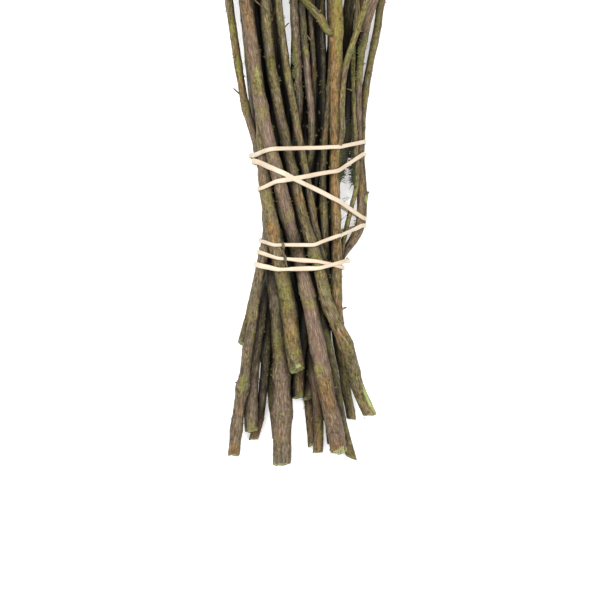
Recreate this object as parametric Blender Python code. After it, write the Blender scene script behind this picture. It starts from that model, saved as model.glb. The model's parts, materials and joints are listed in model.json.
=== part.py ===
"""A bundle of cut twigs held by two rubber bands, lying on its back on a flat surface.

Every twig is a tapering tube that bends a little, every main fork carries a branch of its own,
and each rubber band is one closed loop wound three times round the waist. The routes below say
where each twig runs when the bundle is seen from above. The script then lets the twigs settle
on the surface and on each other, so that none of them runs through its neighbour, and winds the
bands round what has settled.

X runs across the bundle, Y from the cut ends to the twig tips, Z up. Lengths are millimetres
until they are handed to Blender in metres. The origin is on the surface, below the middle.
"""
import math
from collections import namedtuple

import bmesh
import bpy
import numpy as np

MM = 0.001

# Driving dimensions, in millimetres
TOUCH_GAP = 0.45          # air left between two pieces that touch
TIE_Y = 0.0               # the middle of the waist
NECK_Y = 103.0            # where the twigs leave the waist and begin to fan out
CUT_END_Y = -130.0        # the longest cut end
TIP_Y = 330.0             # the longest tip
LOWER_STEP = 20.0         # spacing of a twig's rings below the neck
UPPER_STEP = 30.0         # and above it
LOWER_TOP = 110.0         # the last ring at the closer spacing
TIE_LIFT = 3.0            # room under the waist for the bands where they cross
TIE_HALF = 38.0           # half the length of the waist that the bands cover
TIE_FADE = 34.0           # length over which the twigs come down to the surface again
FINE_STEP = 5.0           # spacing of the sections that are kept clear of each other
END_MARGIN = 1.5          # a ring this close to a twig's end is left out
SHORT_FOOT = 0.15         # waist value's place along a piece that starts above the waist
ANCHOR_APART = 10.0       # least distance from the waist value to the neck value
NECK_ROOM = 20.0          # least length above the neck for a neck value of its own

Twig = namedtuple("Twig", "name tone corners depth radius route")
Fork = namedtuple("Fork", "name parent y tip radius")
Band = namedtuple("Band", "name width thickness steps front")

TONES = {
    "olive": (0.105, 0.092, 0.040),
    "brown": (0.098, 0.070, 0.046),
    "purple": (0.130, 0.082, 0.074),
    "orange": (0.170, 0.098, 0.042),
    "green": (0.120, 0.130, 0.045),
    "dark": (0.040, 0.038, 0.026),
}
RUBBER = (0.86, 0.74, 0.60)
BARK_ROUGHNESS = 0.78
RUBBER_ROUGHNESS = 0.5

# Each twig: colour of its bark, corners of its section, height of its middle and its radius at
# the cut end, the waist, the neck and the tip, and its route (x, y) from the cut end to the tip
TWIGS = [
    Twig("left_edge_twig", "olive", 6, (15, 17, 20, 16), (2.4, 1.8, 2.0, 0.8),
         [(-34, -69), (-30, -54.5), (-25, -31), (-22, -17), (-21.3, -7), (-21.7, 3), (-25, 23),
          (-28.5, 37), (-33, 53), (-37, 78), (-40.5, 103), (-48, 150), (-58, 215), (-66, 262)]),
    Twig("long_purple_twig", "purple", 8, (20, 27, 27, 30), (4.0, 3.3, 2.9, 1.1),
         [(14.5, -123.5), (12, -109.5), (6.5, -84.5), (2, -59.5), (-3, -36), (-9, -14.5), (-13, 3),
          (-20, 30.5), (-25, 53), (-28.5, 78), (-32.5, 103), (-41, 155), (-52, 225), (-62, 322)]),
    Twig("thick_front_twig", "olive", 8, (27, 22, 20, 26), (4.1, 3.2, 2.4, 1.1),
         [(-6.5, -82), (-8, -72), (-10, -59.5), (-11, -47), (-14.5, -32), (-17, -22), (-19, -9.5),
          (-21.5, 3), (-23, 30.5), (-25, 53), (-28, 78), (-30.5, 103), (-35, 160), (-38, 230),
          (-35, 300)]),
    Twig("thick_long_twig", "brown", 8, (14, 16, 18, 20), (4.7, 2.6, 2.1, 1.0),
         [(-14, -129.5), (-14, -97), (-15, -72), (-17, -47), (-18, -37), (-20, -19.5), (-21, -4.5),
          (-20.5, 8), (-18, 28), (-16.5, 48), (-19.5, 73), (-22, 103), (-25, 160), (-27, 235),
          (-22, 318)]),
    Twig("left_long_twig", "brown", 8, (18, 16, 24, 32), (3.0, 1.9, 2.2, 0.9),
         [(-38.5, -125.5), (-37, -112), (-35, -97), (-33.5, -89.5), (-32, -82), (-30, -64.5),
          (-28, -52), (-27, -42), (-23, -25.5), (-19, -12), (-14.5, 3), (-10.5, 20.5), (-7, 38),
          (-5.5, 50.5), (-7, 78), (-8, 103), (-10, 150), (-14, 215), (-18, 280)]),
    Twig("left_short_twig", "dark", 6, (13, 15, 24, 38), (3.3, 1.8, 2.0, 0.9),
         [(-29.5, -113), (-29.7, -102), (-29, -89.5), (-27.5, -72), (-25, -57), (-22, -42), (-18, -28),
          (-13, -14.5), (-7, 0.5), (-2.5, 13), (0.5, 25.5), (1, 38), (-0.5, 58), (-2.5, 78),
          (-4.5, 103), (-5, 150), (-2, 220), (4, 300)]),
    Twig("dark_left_twig", "dark", 6, (10, 14, 22, 30), (2.3, 1.9, 1.1, 0.7),
         [(-28.5, -117.5), (-26, -108), (-24.5, -102), (-23.5, -92), (-23, -82), (-22, -69.5),
          (-20.5, -47), (-17, -34.5), (-11, -17), (-5.5, 0.5), (-1, 18), (1.5, 38), (2, 55.5),
          (1, 83), (-0.5, 103), (-1, 140), (2, 190), (6, 240)]),
    Twig("olive_kinked_twig", "olive", 8, (20, 25, 26, 36), (3.3, 2.8, 2.5, 1.0),
         [(30, -104.5), (26.7, -97), (21, -82.5), (17.5, -68.5), (13.5, -61), (8, -47), (5, -33),
          (-0.5, -17), (-5.5, 3), (-10, 20.5), (-13.5, 38), (-17.5, 58), (-21, 78), (-22, 103),
          (-26, 150), (-36, 215), (-44, 270)]),
    Twig("olive_straight_twig", "olive", 6, (14, 22, 26, 44), (2.35, 2.0, 1.9, 0.8),
         [(21, -107), (16.5, -82), (13.5, -64.5), (10.5, -47), (8.5, -34.5), (3.5, -17), (0, 3),
          (-3, 20.5), (-6, 38), (-10, 58), (-13, 78), (-16, 103), (-21, 150), (-30, 220), (-34, 305)]),
    Twig("centre_thin_twig", "olive", 6, (12, 22, 20, 24), (1.9, 1.9, 1.8, 0.8),
         [(7.5, -72), (8, -47), (8, -26), (7.5, -12), (6.5, 3), (6.5, 20.5), (8, 38), (10, 55.5),
          (11.5, 78), (12.5, 103), (14, 150), (18, 215), (26, 285)]),
    Twig("orange_front_twig", "orange", 8, (18, 25, 27, 46), (2.9, 2.4, 3.4, 1.0),
         [(13, -62), (13, -37), (13, -12), (12.5, 3), (12.5, 33), (13, 53), (13, 78), (13, 103),
          (14, 150), (16, 215), (8, 330)]),
    Twig("right_thin_twig", "green", 6, (16, 21, 21, 30), (1.4, 1.15, 1.2, 0.6),
         [(12.3, -50), (14.5, -29.5), (16, -19.5), (18.5, -9.5), (21.5, 0.5), (23.5, 13), (23.5, 20.5),
          (23, 33), (21.5, 58), (21.5, 73), (23, 90.5), (23.5, 103), (27, 140), (36, 190), (47, 235)]),
    Twig("right_outer_twig", "olive", 6, (12, 16, 20, 22), (2.0, 1.8, 1.9, 0.8),
         [(11, -59.5), (12.7, -32), (16, -25.5), (22, -18), (25, -13), (26, -4.5), (27, 6.5),
          (26, 20.5), (26, 43), (29, 63), (32, 83), (34.5, 93), (36, 103), (45, 145), (57, 200),
          (66, 250)]),
    Twig("right_inner_twig", "purple", 6, (12, 11, 18, 36), (2.8, 1.8, 2.1, 0.9),
         [(-1, -96.5), (1, -77), (5, -57), (9.5, -42), (13.7, -28.5), (19.5, -20.5), (24, -11), (26, 0.5),
          (25, 13), (24.5, 29), (24, 53), (25, 73), (26, 83), (29.5, 93), (32, 103), (44, 145),
          (56, 200), (72, 262)]),
    Twig("lower_middle_twig", "dark", 6, (13, 16, 15, 12), (2.5, 1.9, 1.8, 0.8),
         [(4, -124), (4.5, -112), (4, -102), (1, -82), (-1, -72), (-3.5, -62), (-6.5, -47),
          (-10.5, -32), (-14.5, -12), (-17.5, 8), (-20.5, 30.5), (-23, 53), (-25, 75.5), (-28, 103),
          (-35, 150), (-46, 200), (-50, 245)]),
    Twig("lower_notched_twig", "dark", 6, (8, 13, 12, 8), (2.2, 1.9, 1.8, 0.8),
         [(1, -120.5), (0.5, -112), (-0.5, -97), (-2.5, -82), (-5.5, -67), (-9, -52), (-12.5, -37),
          (-15.5, -19.5), (-18, 0.5), (-20, 20.5), (-21.5, 43), (-23.5, 73), (-26, 103), (-31, 150),
          (-44, 210), (-54, 250)]),
    Twig("behind_long_twig", "brown", 6, (14, 18, 18, 18), (2.0, 1.9, 1.9, 0.8),
         [(10.5, -119.5), (9.5, -107), (7, -92), (3.5, -69.5), (0.5, -52), (-4, -32), (-9.5, -12),
          (-14.5, 8), (-20, 30.5), (-24.5, 53), (-28, 78), (-31.5, 103), (-37, 155), (-49, 220),
          (-53, 290)]),
    Twig("beside_long_twig", "olive", 6, (15, 20, 16, 12), (2.3, 1.8, 1.7, 0.8),
         [(21, -127), (17, -114.5), (15, -103), (11.5, -87), (9, -74.5), (6.5, -62), (2, -43),
          (-2, -26), (-6, -7), (-10, 13), (-14, 35.5), (-17.5, 60.5), (-21.5, 88), (-23, 103),
          (-28, 150), (-30, 210), (-24, 270)]),
    Twig("short_dark_twig", "dark", 6, (14, 16, 14, 16), (2.9, 1.9, 1.8, 0.8),
         [(-6, -96), (-5.5, -82), (-4, -67), (-0.5, -49.5), (3.5, -34.5), (7.5, -17), (10.5, 0.5),
          (12.5, 18), (13.5, 38), (12.5, 58), (11, 83), (10, 103), (12, 150), (10, 210), (16, 275)]),
    Twig("thin_dark_twig", "dark", 6, (9, 14, 12, 12), (1.5, 1.5, 1.4, 0.7),
         [(-10, -103), (-10.5, -87), (-10.5, -72), (-9, -57), (-6.5, -42), (-3.5, -24.5), (0, -7),
          (3, 10.5), (5.5, 28), (7, 48), (7, 73), (6.5, 103), (8, 150), (14, 205), (22, 250)]),
    Twig("back_twig_1", "brown", 6, (3.7, 5.0, 3.0, 3), (3.6, 2.8, 2.4, 1.0),
         [(-31, -106), (-30, -92), (-28.5, -72), (-26, -47), (-24, -22), (-21.5, 0), (-24, 28),
          (-27, 53), (-29.5, 78), (-32, 103), (-39, 155), (-50, 205), (-62, 250)]),
    Twig("back_twig_2", "olive", 6, (4.2, 5.0, 3.0, 3), (4.1, 2.8, 2.5, 1.0),
         [(-14, -117), (-14.5, -97), (-15.5, -72), (-16.5, -47), (-16.5, -22), (-15.5, 0), (-19, 28),
          (-22, 53), (-25, 78), (-27, 103), (-32, 160), (-39, 210), (-44, 255)]),
    Twig("back_twig_3", "brown", 6, (3.8, 5.0, 3.0, 3), (3.8, 2.8, 2.4, 1.0),
         [(-6, -90), (-6, -72), (-7, -47), (-8, -22), (-9, 0), (-11, 28), (-13.5, 53), (-16.5, 78),
          (-19, 103), (-22, 165), (-25, 230), (-26, 290)]),
    Twig("back_twig_4", "olive", 6, (3.6, 5.0, 3.0, 3), (3.5, 2.8, 2.4, 1.0),
         [(11, -109.5), (8.5, -97), (4.5, -72), (1.5, -47), (-0.5, -22), (-2.5, 0), (-2.5, 28),
          (-3.5, 53), (-5, 78), (-6.5, 103), (-7, 170), (-9, 240), (-8, 310)]),
    Twig("back_twig_5", "brown", 6, (3.5, 5.0, 3.0, 3), (3.4, 2.8, 2.4, 1.0),
         [(14.5, -84.5), (12.5, -69.5), (9, -47), (6, -22), (4, 0), (5, 28), (8, 53), (6.5, 78),
          (5, 103), (6, 160), (6, 230), (8, 300)]),
    Twig("back_twig_6", "olive", 6, (3.4, 5.0, 3.0, 3), (3.3, 2.8, 2.4, 1.0),
         [(17.5, -86), (15, -72), (13, -59.5), (11.5, -42), (11, -22), (10.5, 0), (13, 28),
          (15.5, 53), (17.5, 78), (20, 103), (28, 155), (37, 220), (44, 285)]),
    Twig("back_twig_7", "dark", 6, (8, 10.5, 9, 12), (3.2, 2.8, 2.3, 1.0),
         [(-24, -67), (-22, -47), (-20, -22), (-18.5, 0), (-21.5, 28), (-24.5, 53),
          (-27, 73), (-29.5, 103), (-38, 160), (-48, 230), (-56, 300)]),
    Twig("back_twig_8", "brown", 6, (9, 10.5, 9, 13), (3.6, 2.8, 2.4, 1.0),
         [(-13, -54), (-12.5, -22), (-12, 0), (-14.5, 28), (-17, 53),
          (-19.5, 78), (-22, 103), (-20, 160), (-17, 215), (-16, 265)]),
    Twig("back_twig_9", "dark", 6, (9, 10.5, 9, 18), (3.3, 2.8, 2.3, 1.0),
         [(-4.5, -56), (-4.5, -42), (-5, -22), (-6, 0), (-7, 28), (-7, 53), (-6.5, 78),
          (-6, 103), (-5, 160), (-3, 215), (-2, 260)]),
    Twig("back_twig_10", "brown", 6, (9, 10.5, 9, 14), (3.4, 2.8, 2.4, 1.0),
         [(6.5, -50), (5.5, -42), (3, -22), (0.5, 0), (1, 28), (0, 53), (-0.5, 78),
          (-0.5, 103), (6, 160), (14, 235), (22, 305)]),
    Twig("back_twig_11", "olive", 6, (9, 10.5, 9, 16), (3.3, 2.8, 2.4, 1.0),
         [(11.5, -46), (10.5, -39.5), (9, -22), (7, 0), (9, 28), (10, 53), (11, 78),
          (13, 103), (19, 160), (28, 230), (34, 300)]),
    Twig("back_twig_12", "dark", 6, (9, 10.5, 9, 12), (3.2, 2.8, 2.3, 1.0),
         [(12, -62), (12.5, -42), (13.5, -22), (13, 0), (16.5, 28), (19, 53), (21.5, 78), (26, 103),
          (36, 160), (50, 225), (62, 290)]),
]

# Two branches whose routes can be seen: they leave the orange twig near the neck
SIDE_ROUTES = [
    Twig("orange_twig_right_branch", "olive", 6, (30, 31, 31, 48), (1.3, 1.4, 1.6, 0.7),
         [(15.5, 33), (16, 53), (16.5, 63), (18.5, 73), (22, 83), (25.5, 93), (28.5, 103),
          (43, 145), (55, 190), (62, 240)]),
    Twig("orange_twig_left_branch", "green", 6, (31, 31, 33, 50), (2.0, 2.0, 1.8, 0.8),
         [(8, 88), (5.5, 93), (1, 99), (-3.5, 103), (-10, 114), (-15, 140), (-16, 180),
          (-10, 225)]),
]

# The other forks: parent, height of the fork, tip (x, y, z), radius at the fork and the tip
FORKS = [
    Fork("left_edge_branch", "left_edge_twig", 150, (-80, 235, 22), (1.3, 0.7)),
    Fork("long_purple_left_branch", "long_purple_twig", 132, (-76, 270, 38), (1.8, 0.7)),
    Fork("long_purple_top_branch", "long_purple_twig", 195, (-44, 300, 46), (1.4, 0.7)),
    Fork("thick_front_branch", "thick_front_twig", 150, (-54, 285, 42), (1.5, 0.7)),
    Fork("thick_long_branch", "thick_long_twig", 165, (-10, 290, 36), (1.4, 0.7)),
    Fork("left_long_branch", "left_long_twig", 150, (-26, 262, 52), (1.5, 0.7)),
    Fork("left_short_branch", "left_short_twig", 150, (14, 270, 52), (1.3, 0.7)),
    Fork("olive_kinked_left_branch", "olive_kinked_twig", 128, (-54, 235, 50), (1.6, 0.7)),
    Fork("olive_kinked_top_branch", "olive_kinked_twig", 185, (-30, 262, 54), (1.3, 0.7)),
    Fork("olive_straight_branch", "olive_straight_twig", 155, (-16, 275, 58), (1.3, 0.7)),
    Fork("centre_thin_branch", "centre_thin_twig", 140, (34, 255, 38), (1.3, 0.7)),
    Fork("orange_twig_top_branch", "orange_front_twig", 185, (27, 300, 60), (1.6, 0.8)),
    Fork("right_outer_branch", "right_outer_twig", 128, (82, 225, 26), (1.3, 0.7)),
    Fork("right_inner_left_branch", "right_inner_twig", 145, (58, 280, 46), (1.4, 0.7)),
    Fork("right_inner_right_branch", "right_inner_twig", 195, (88, 275, 30), (1.2, 0.6)),
    Fork("back_twig_1_branch", "back_twig_1", 138, (-76, 215, 4), (1.6, 0.7)),
    Fork("back_twig_3_branch", "back_twig_3", 175, (-40, 310, 8), (1.5, 0.7)),
    Fork("back_twig_4_branch", "back_twig_4", 185, (3, 325, 12), (1.5, 0.7)),
    Fork("back_twig_6_branch", "back_twig_6", 150, (66, 245, 4), (1.6, 0.7)),
    Fork("back_twig_7_branch", "back_twig_7", 180, (-70, 290, 12), (1.4, 0.7)),
    Fork("back_twig_10_branch", "back_twig_10", 190, (10, 330, 24), (1.5, 0.7)),
    Fork("back_twig_12_branch", "back_twig_12", 158, (80, 255, 8), (1.5, 0.7)),
]
FORK_SPREAD = 0.35        # how much of a branch's spread comes before its middle
FORK_SHARE = 0.85         # thickest a branch may start, as a share of its twig
FORK_RISE = 1.5           # how much more a branch leaves its twig upwards than sideways
PAST_ENDS = (-0.2, 1.3)   # shares of its length between which a branch's route is drawn

# How far left and right the hidden twigs may reach at each height: (y, left, right)
HIDDEN_SIDES = [(-125, -39, 27), (-100, -36, 25), (-68, -34, 18), (-42, -28.2, 15),
                (-26, -25.5, 14.8), (-17, -23.7, 14.8), (-2, -23, 14.8), (13, -24.5, 14.8),
                (22, -26, 16), (30, -28, 20), (38, -30, 24), (49, -34, 27), (83, -39, 33.5),
                (103, -42, 36.5)]
HIDDEN_TOP = 120.0        # above this height they fan out freely

# The rubber bands: each front strand is a route (x, y) from the left side to the right side,
# and behind the bundle each strand runs straight to where the next one starts
BANDS = [
    Band("upper_rubber_band", 2.6, 1.0, 96, [
        [(-27.5, 25), (-24, 26), (-20, 27.3), (-15, 28), (5, 28.5), (16, 29.5), (20, 30.5),
         (27, 32.5)],
        [(-24.5, 8), (-21, 10), (-16.5, 11.5), (-8, 12.8), (2.5, 14.8), (13.5, 17), (17.5, 19.5),
         (21, 22.3), (27, 26.5)],
        [(-27, 22), (-22.5, 19.5), (-17.5, 17.5), (-8.5, 13), (-4.5, 12), (0, 9.3), (7.5, 6.5),
         (15, 2), (21.5, -3), (27, -6)]]),
    Band("lower_rubber_band", 2.4, 1.0, 96, [
        [(-24, -17), (-21, -18.8), (-17.5, -20), (-10, -21.3), (-5, -21), (5, -19.3),
         (12.5, -16.3), (20, -11.8), (26.5, -9.5)],
        [(-25.5, -23), (-22.5, -24.3), (-15, -26.8), (-11, -27.5), (5, -28), (10, -29),
         (17, -31)],
        [(-27.5, -29), (-24, -30.3), (-15, -32), (0, -31.5), (5, -31.3), (10, -30), (15, -28.3),
         (17, -27.5)]]),
]
BAND_CLEAR = 0.6          # air between a band and the bark below it
CROSS_LIFT = 1.35         # how far a strand rises to pass over another
CROSS_RAMP = 2.2          # sideways distance over which it rises
CROSS_AIR = 0.5           # least sideways air between strands in the same layer
TOUCH_TRIES = 6           # times that a strand's place and its height are fitted to each other
LONGEST_SPAN = 6.0        # longest step along a band
SHORTEST_STEP = 2.0       # and the shortest

# How the twigs settle
SETTLE_STEPS = 420
FALL = 0.06               # how far everything sinks in one step, at first
QUIET_STEPS = 420         # last steps, in which the twigs are only kept apart
PUSH = 0.45               # share of an overlap that one step takes away
STIFFNESS = 0.30          # how much one step straightens a bend that settling has made
HOLD = 0.03               # how strongly a free twig keeps to its drawn route
LARGEST_PUSH = 0.6        # farthest one contact moves a twig in one step
RING_SHARE = 0.25         # how much a ring resists a push on the sections beside it
RING_GAIN = 1.3           # and how much it then gives
SHALLOWEST = 0.3          # least share of a push that counts where two twigs lie side by side


def smooth_values(at, places, values):
    """Read a smooth curve through the given values, running straight on past both ends."""
    places = np.asarray(places, float)
    values = np.asarray(values, float)
    slopes = np.gradient(values, places)
    at = np.asarray(at, float)
    inside = np.clip(at, places[0], places[-1])
    k = np.clip(np.searchsorted(places, inside, side="right") - 1, 0, len(places) - 2)
    span = places[k + 1] - places[k]
    t = (inside - places[k]) / span
    curve = (values[k] * (2 * t**3 - 3 * t**2 + 1) + slopes[k] * span * (t**3 - 2 * t**2 + t)
             + values[k + 1] * (3 * t**2 - 2 * t**3) + slopes[k + 1] * span * (t**3 - t**2))
    beyond = np.where(at < places[0], (at - places[0]) * slopes[0],
                      np.where(at > places[-1], (at - places[-1]) * slopes[-1], 0.0))
    return curve + beyond


def anchors(first, last):
    """Heights at which a twig's depth and radius are given."""
    low = min(TIE_Y, (first + last) / 2) if first < TIE_Y else first + (last - first) * SHORT_FOOT
    high = max(NECK_Y, low + ANCHOR_APART) if last > NECK_Y + NECK_ROOM else (low + last) / 2
    return [first, low, high, last]


def ring_heights():
    """Heights of the rings that all twigs share."""
    lower = np.arange(CUT_END_Y, LOWER_TOP + 1, LOWER_STEP)
    upper = np.arange(LOWER_TOP + UPPER_STEP, TIP_Y + UPPER_STEP, UPPER_STEP)
    return np.concatenate([lower, upper])


class Piece:
    """One twig or branch: its route, heights and radii on the shared rings."""

    def __init__(self, name, tone, corners, seen):
        self.name = name
        self.tone = tone
        self.corners = corners
        self.seen = seen

    def from_twig(self, twig, rings):
        ys = [y for x, y in twig.route]
        self.first, self.last = ys[0], ys[-1]
        places = anchors(self.first, self.last)
        self.x = smooth_values(rings, ys, [x for x, y in twig.route])
        self.z = np.interp(rings, places, twig.depth)
        self.r = np.interp(rings, places, twig.radius)
        return self

    def from_fork(self, fork, parent, rings):
        tip_x, tip_y, tip_z = fork.tip
        root_x = np.interp(fork.y, rings, parent.x)
        root_z = np.interp(fork.y, rings, parent.z)
        parent_r = np.interp(fork.y, rings, parent.r)
        root_r = min(fork.radius[0], parent_r * FORK_SHARE)
        away = np.array([tip_x - root_x, (tip_z - root_z) * FORK_RISE])
        away *= (parent_r + root_r + 2 * TOUCH_GAP) / np.linalg.norm(away)
        self.first, self.last = fork.y, tip_y
        t = np.clip((rings - fork.y) / (tip_y - fork.y), *PAST_ENDS)
        spread = t * (1 + FORK_SPREAD) - FORK_SPREAD * t * t
        self.x = root_x + away[0] + (tip_x - root_x - away[0]) * spread
        self.z = root_z + away[1] + (tip_z - root_z - away[1]) * spread
        self.r = root_r + (fork.radius[1] - root_r) * np.clip(t, 0, 1)
        return self


def draw_pieces(rings):
    """Lay out every twig and branch along its own route."""
    pieces = []
    for twig in TWIGS:
        pieces.append(Piece(twig.name, twig.tone, twig.corners,
                            not twig.name.startswith("back")).from_twig(twig, rings))
    for twig in SIDE_ROUTES:
        pieces.append(Piece(twig.name, twig.tone, twig.corners, True).from_twig(twig, rings))
    by_name = {piece.name: piece for piece in pieces}
    for fork in FORKS:
        parent = by_name[fork.parent]
        pieces.append(Piece(fork.name, parent.tone, 6, False).from_fork(fork, parent, rings))
    return pieces


def surface_lift(y):
    """Least height of the bark above the surface: none, but for the room that the bands need."""
    t = np.clip((TIE_HALF + TIE_FADE - np.abs(y)) / TIE_FADE, 0, 1)
    return TIE_LIFT * t * t * (3 - 2 * t)


def hidden_limits(rings, radii):
    """Least and greatest x of each hidden twig's middle at each ring."""
    heights, left, right = np.array(HIDDEN_SIDES, float).T
    free = np.where(rings > HIDDEN_TOP, 1000.0, 0.0)
    left = np.interp(rings, heights, left) - free
    right = np.interp(rings, heights, right) + free
    return left[:, None] + radii, right[:, None] - radii


def reading_weights(at, rings):
    """Matrix that reads values at the given heights from values on the rings."""
    at = np.clip(at, rings[0], rings[-1])
    k = np.clip(np.searchsorted(rings, at, side="right") - 1, 0, len(rings) - 2)
    share = (at - rings[k]) / (rings[k + 1] - rings[k])
    weights = np.zeros((len(at), len(rings)))
    weights[np.arange(len(at)), k] = 1 - share
    weights[np.arange(len(at)), k + 1] += share
    return weights


def which_is_above(x, z, pair):
    """For each two twigs, 1 or -1: which one is drawn higher where they come closest."""
    near = np.exp(-np.abs(x[:, :, None] - x[:, None, :])) * pair
    rise = ((z[:, :, None] - z[:, None, :]) * near).sum(0)
    count = len(rise)
    first_wins = np.sign(np.arange(count)[:, None] - np.arange(count)[None, :])
    return np.where(np.abs(rise) > 1e-9, np.sign(rise), first_wins)[None]


def settle(pieces, rings):
    """Let the twigs sink onto the surface and onto each other, and push apart what overlaps.

    A twig that shows on top keeps its drawn route seen from above and only moves up or down.
    """
    fine = np.arange(CUT_END_Y, TIP_Y + 1, FINE_STEP)
    weights = reading_weights(fine, rings)
    x0 = np.array([p.x for p in pieces]).T
    x, z = x0.copy(), np.array([p.z for p in pieces]).T
    ring_radius = np.array([p.r for p in pieces]).T
    radius = weights @ ring_radius
    first = np.array([p.first for p in pieces])
    last = np.array([p.last for p in pieces])
    there = (fine[:, None] >= first - FINE_STEP / 2) & (fine[:, None] <= last + FINE_STEP / 2)
    seen = np.array([p.seen for p in pieces])
    loose = np.where(seen[None, :] & (fine[:, None] < NECK_Y + 4), 0.0, 1.0)
    loose_ring = np.where(seen[None, :] & (rings[:, None] < NECK_Y + 10), 0.0, 1.0)
    least_x, greatest_x = hidden_limits(rings, ring_radius)
    count = len(pieces)
    pair = there[:, :, None] & there[:, None, :] & ~np.eye(count, dtype=bool)[None]
    order = which_is_above(weights @ x, weights @ z, pair)
    lift = surface_lift(fine)[:, None]
    gap_before = np.diff(rings)[:-1, None]
    gap_after = np.diff(rings)[1:, None]
    for step in range(SETTLE_STEPS + QUIET_STEPS):
        calm = max(0.0, 1 - step / SETTLE_STEPS)
        z = z - FALL * calm
        fx, fz = weights @ x, weights @ z
        lean = np.sqrt(1 + np.gradient(fx, fine, axis=0)**2 + np.gradient(fz, fine, axis=0)**2)
        wide = radius * lean
        dx = fx[:, :, None] - fx[:, None, :]
        dz = fz[:, :, None] - fz[:, None, :]
        far = np.sqrt(dx * dx + dz * dz) + 1e-9
        need = wide[:, :, None] + wide[:, None, :] + TOUCH_GAP
        over = np.where(pair, need - far, 0.0)
        hit = over > 0
        free = loose[:, :, None] + loose[:, None, :]
        nx, nz = dx / far, dz / far
        sideways = free * nx * nx + 2 * nz * nz
        upright = np.sqrt(np.maximum(need * need - dx * dx, 0)) - dz * order
        locked = hit & (free == 0)
        push_z = np.where(locked, order * upright / 2, over * nz / np.maximum(sideways, SHALLOWEST))
        push_x = np.where(locked, 0.0, over * nx / np.maximum(sideways, SHALLOWEST)) * loose[:, :, None]
        push_z = np.clip(np.where(hit, push_z, 0), -LARGEST_PUSH, LARGEST_PUSH).sum(2) * PUSH
        push_x = np.clip(np.where(hit, push_x, 0), -LARGEST_PUSH, LARGEST_PUSH).sum(2) * PUSH
        sunk = np.where(there, np.maximum(wide + lift - fz, 0), 0)
        push_z = np.maximum(push_z, 0) * (sunk > 0) + push_z * (sunk <= 0) + sunk
        moved = ((np.abs(push_x) + np.abs(push_z)) > 1e-6) * 1.0
        share = weights.T @ moved + RING_SHARE
        x += (weights.T @ push_x) / share * RING_GAIN
        z += (weights.T @ push_z) / share * RING_GAIN
        if calm > 0:
            for track, base in ((x, x0), (z, 0)):
                bend = track - base
                straight = ((bend[:-2] * gap_after + bend[2:] * gap_before)
                            / (gap_before + gap_after))
                bend[1:-1] += STIFFNESS * calm * (straight - bend[1:-1])
                track[:] = base + bend
            x += (x0 - x) * HOLD * calm
        x = np.where(loose_ring > 0, x, x0)
        x = np.where(seen[None, :], x, np.clip(x, least_x, greatest_x))
    for k, piece in enumerate(pieces):
        piece.x, piece.z = x[:, k], z[:, k]
    return float((far - need)[pair].min()) + TOUCH_GAP


def new_material(name, colour, roughness):
    """One plain finish of a piece."""
    material = bpy.data.materials.new(name)
    material.use_nodes = True
    shader = material.node_tree.nodes["Principled BSDF"]
    shader.inputs["Base Color"].default_value = (*colour, 1)
    shader.inputs["Roughness"].default_value = roughness
    shader.inputs["Metallic"].default_value = 0
    return material


def twig_object(piece, rings, collection, origin):
    """A tapering tube with filled ends, on a curve whose points carry the twig's radius."""
    inner = rings[(rings > piece.first + END_MARGIN) & (rings < piece.last - END_MARGIN)]
    heights = np.concatenate([[piece.first], inner, [piece.last]])
    xs = np.interp(heights, rings, piece.x)
    zs = np.interp(heights, rings, piece.z)
    radii = np.interp(heights, rings, piece.r)
    curve = bpy.data.curves.new(piece.name, "CURVE")
    curve.dimensions = "3D"
    curve.bevel_depth = MM
    curve.bevel_resolution = 2 if piece.corners == 8 else 1
    curve.use_fill_caps = True
    curve.render_resolution_u = 0
    spline = curve.splines.new("POLY")
    spline.points.add(len(heights) - 1)
    start = np.array([xs[0], heights[0], zs[0]])
    for point, x, y, z, radius in zip(spline.points, xs, heights, zs, radii):
        place = (np.array([x, y, z]) - start) * MM
        point.co = (*place, 1)
        point.radius = radius
    thing = bpy.data.objects.new(piece.name, curve)
    thing.location = start * MM
    thing.parent = origin
    curve.materials.append(new_material("bark_of_" + piece.name, TONES[piece.tone],
                                        BARK_ROUGHNESS))
    collection.objects.link(thing)
    return thing


class Waist:
    """The settled twigs as circles in a section, for winding a band round them."""

    def __init__(self, pieces, rings):
        self.pieces = pieces
        self.rings = rings

    def circles(self, y):
        rows = []
        for piece in self.pieces:
            if piece.first <= y <= piece.last:
                x, z, r = (np.interp(y, self.rings, v) for v in (piece.x, piece.z, piece.r))
                lean_x = np.interp(y + 1, self.rings, piece.x) - x
                lean_z = np.interp(y + 1, self.rings, piece.z) - z
                rows.append((x, z, r * math.sqrt(1 + lean_x**2 + lean_z**2)))
        return np.array(rows)

    def touch(self, y, angle, lift):
        """Where a strand lying round the twigs at this height has this outward direction."""
        out = np.array([math.cos(angle), math.sin(angle)])
        rows = self.circles(y)
        reach = rows[:, 0] * out[0] + rows[:, 1] * out[1] + rows[:, 2]
        x, z, r = rows[int(np.argmax(reach))]
        return x + (r + lift) * out[0], z + (r + lift) * out[1], out


def strand_height(front, back, x, on_front):
    line = front if on_front else back
    return float(np.interp(x, [p[0] for p in line], [p[1] for p in line]))


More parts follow.
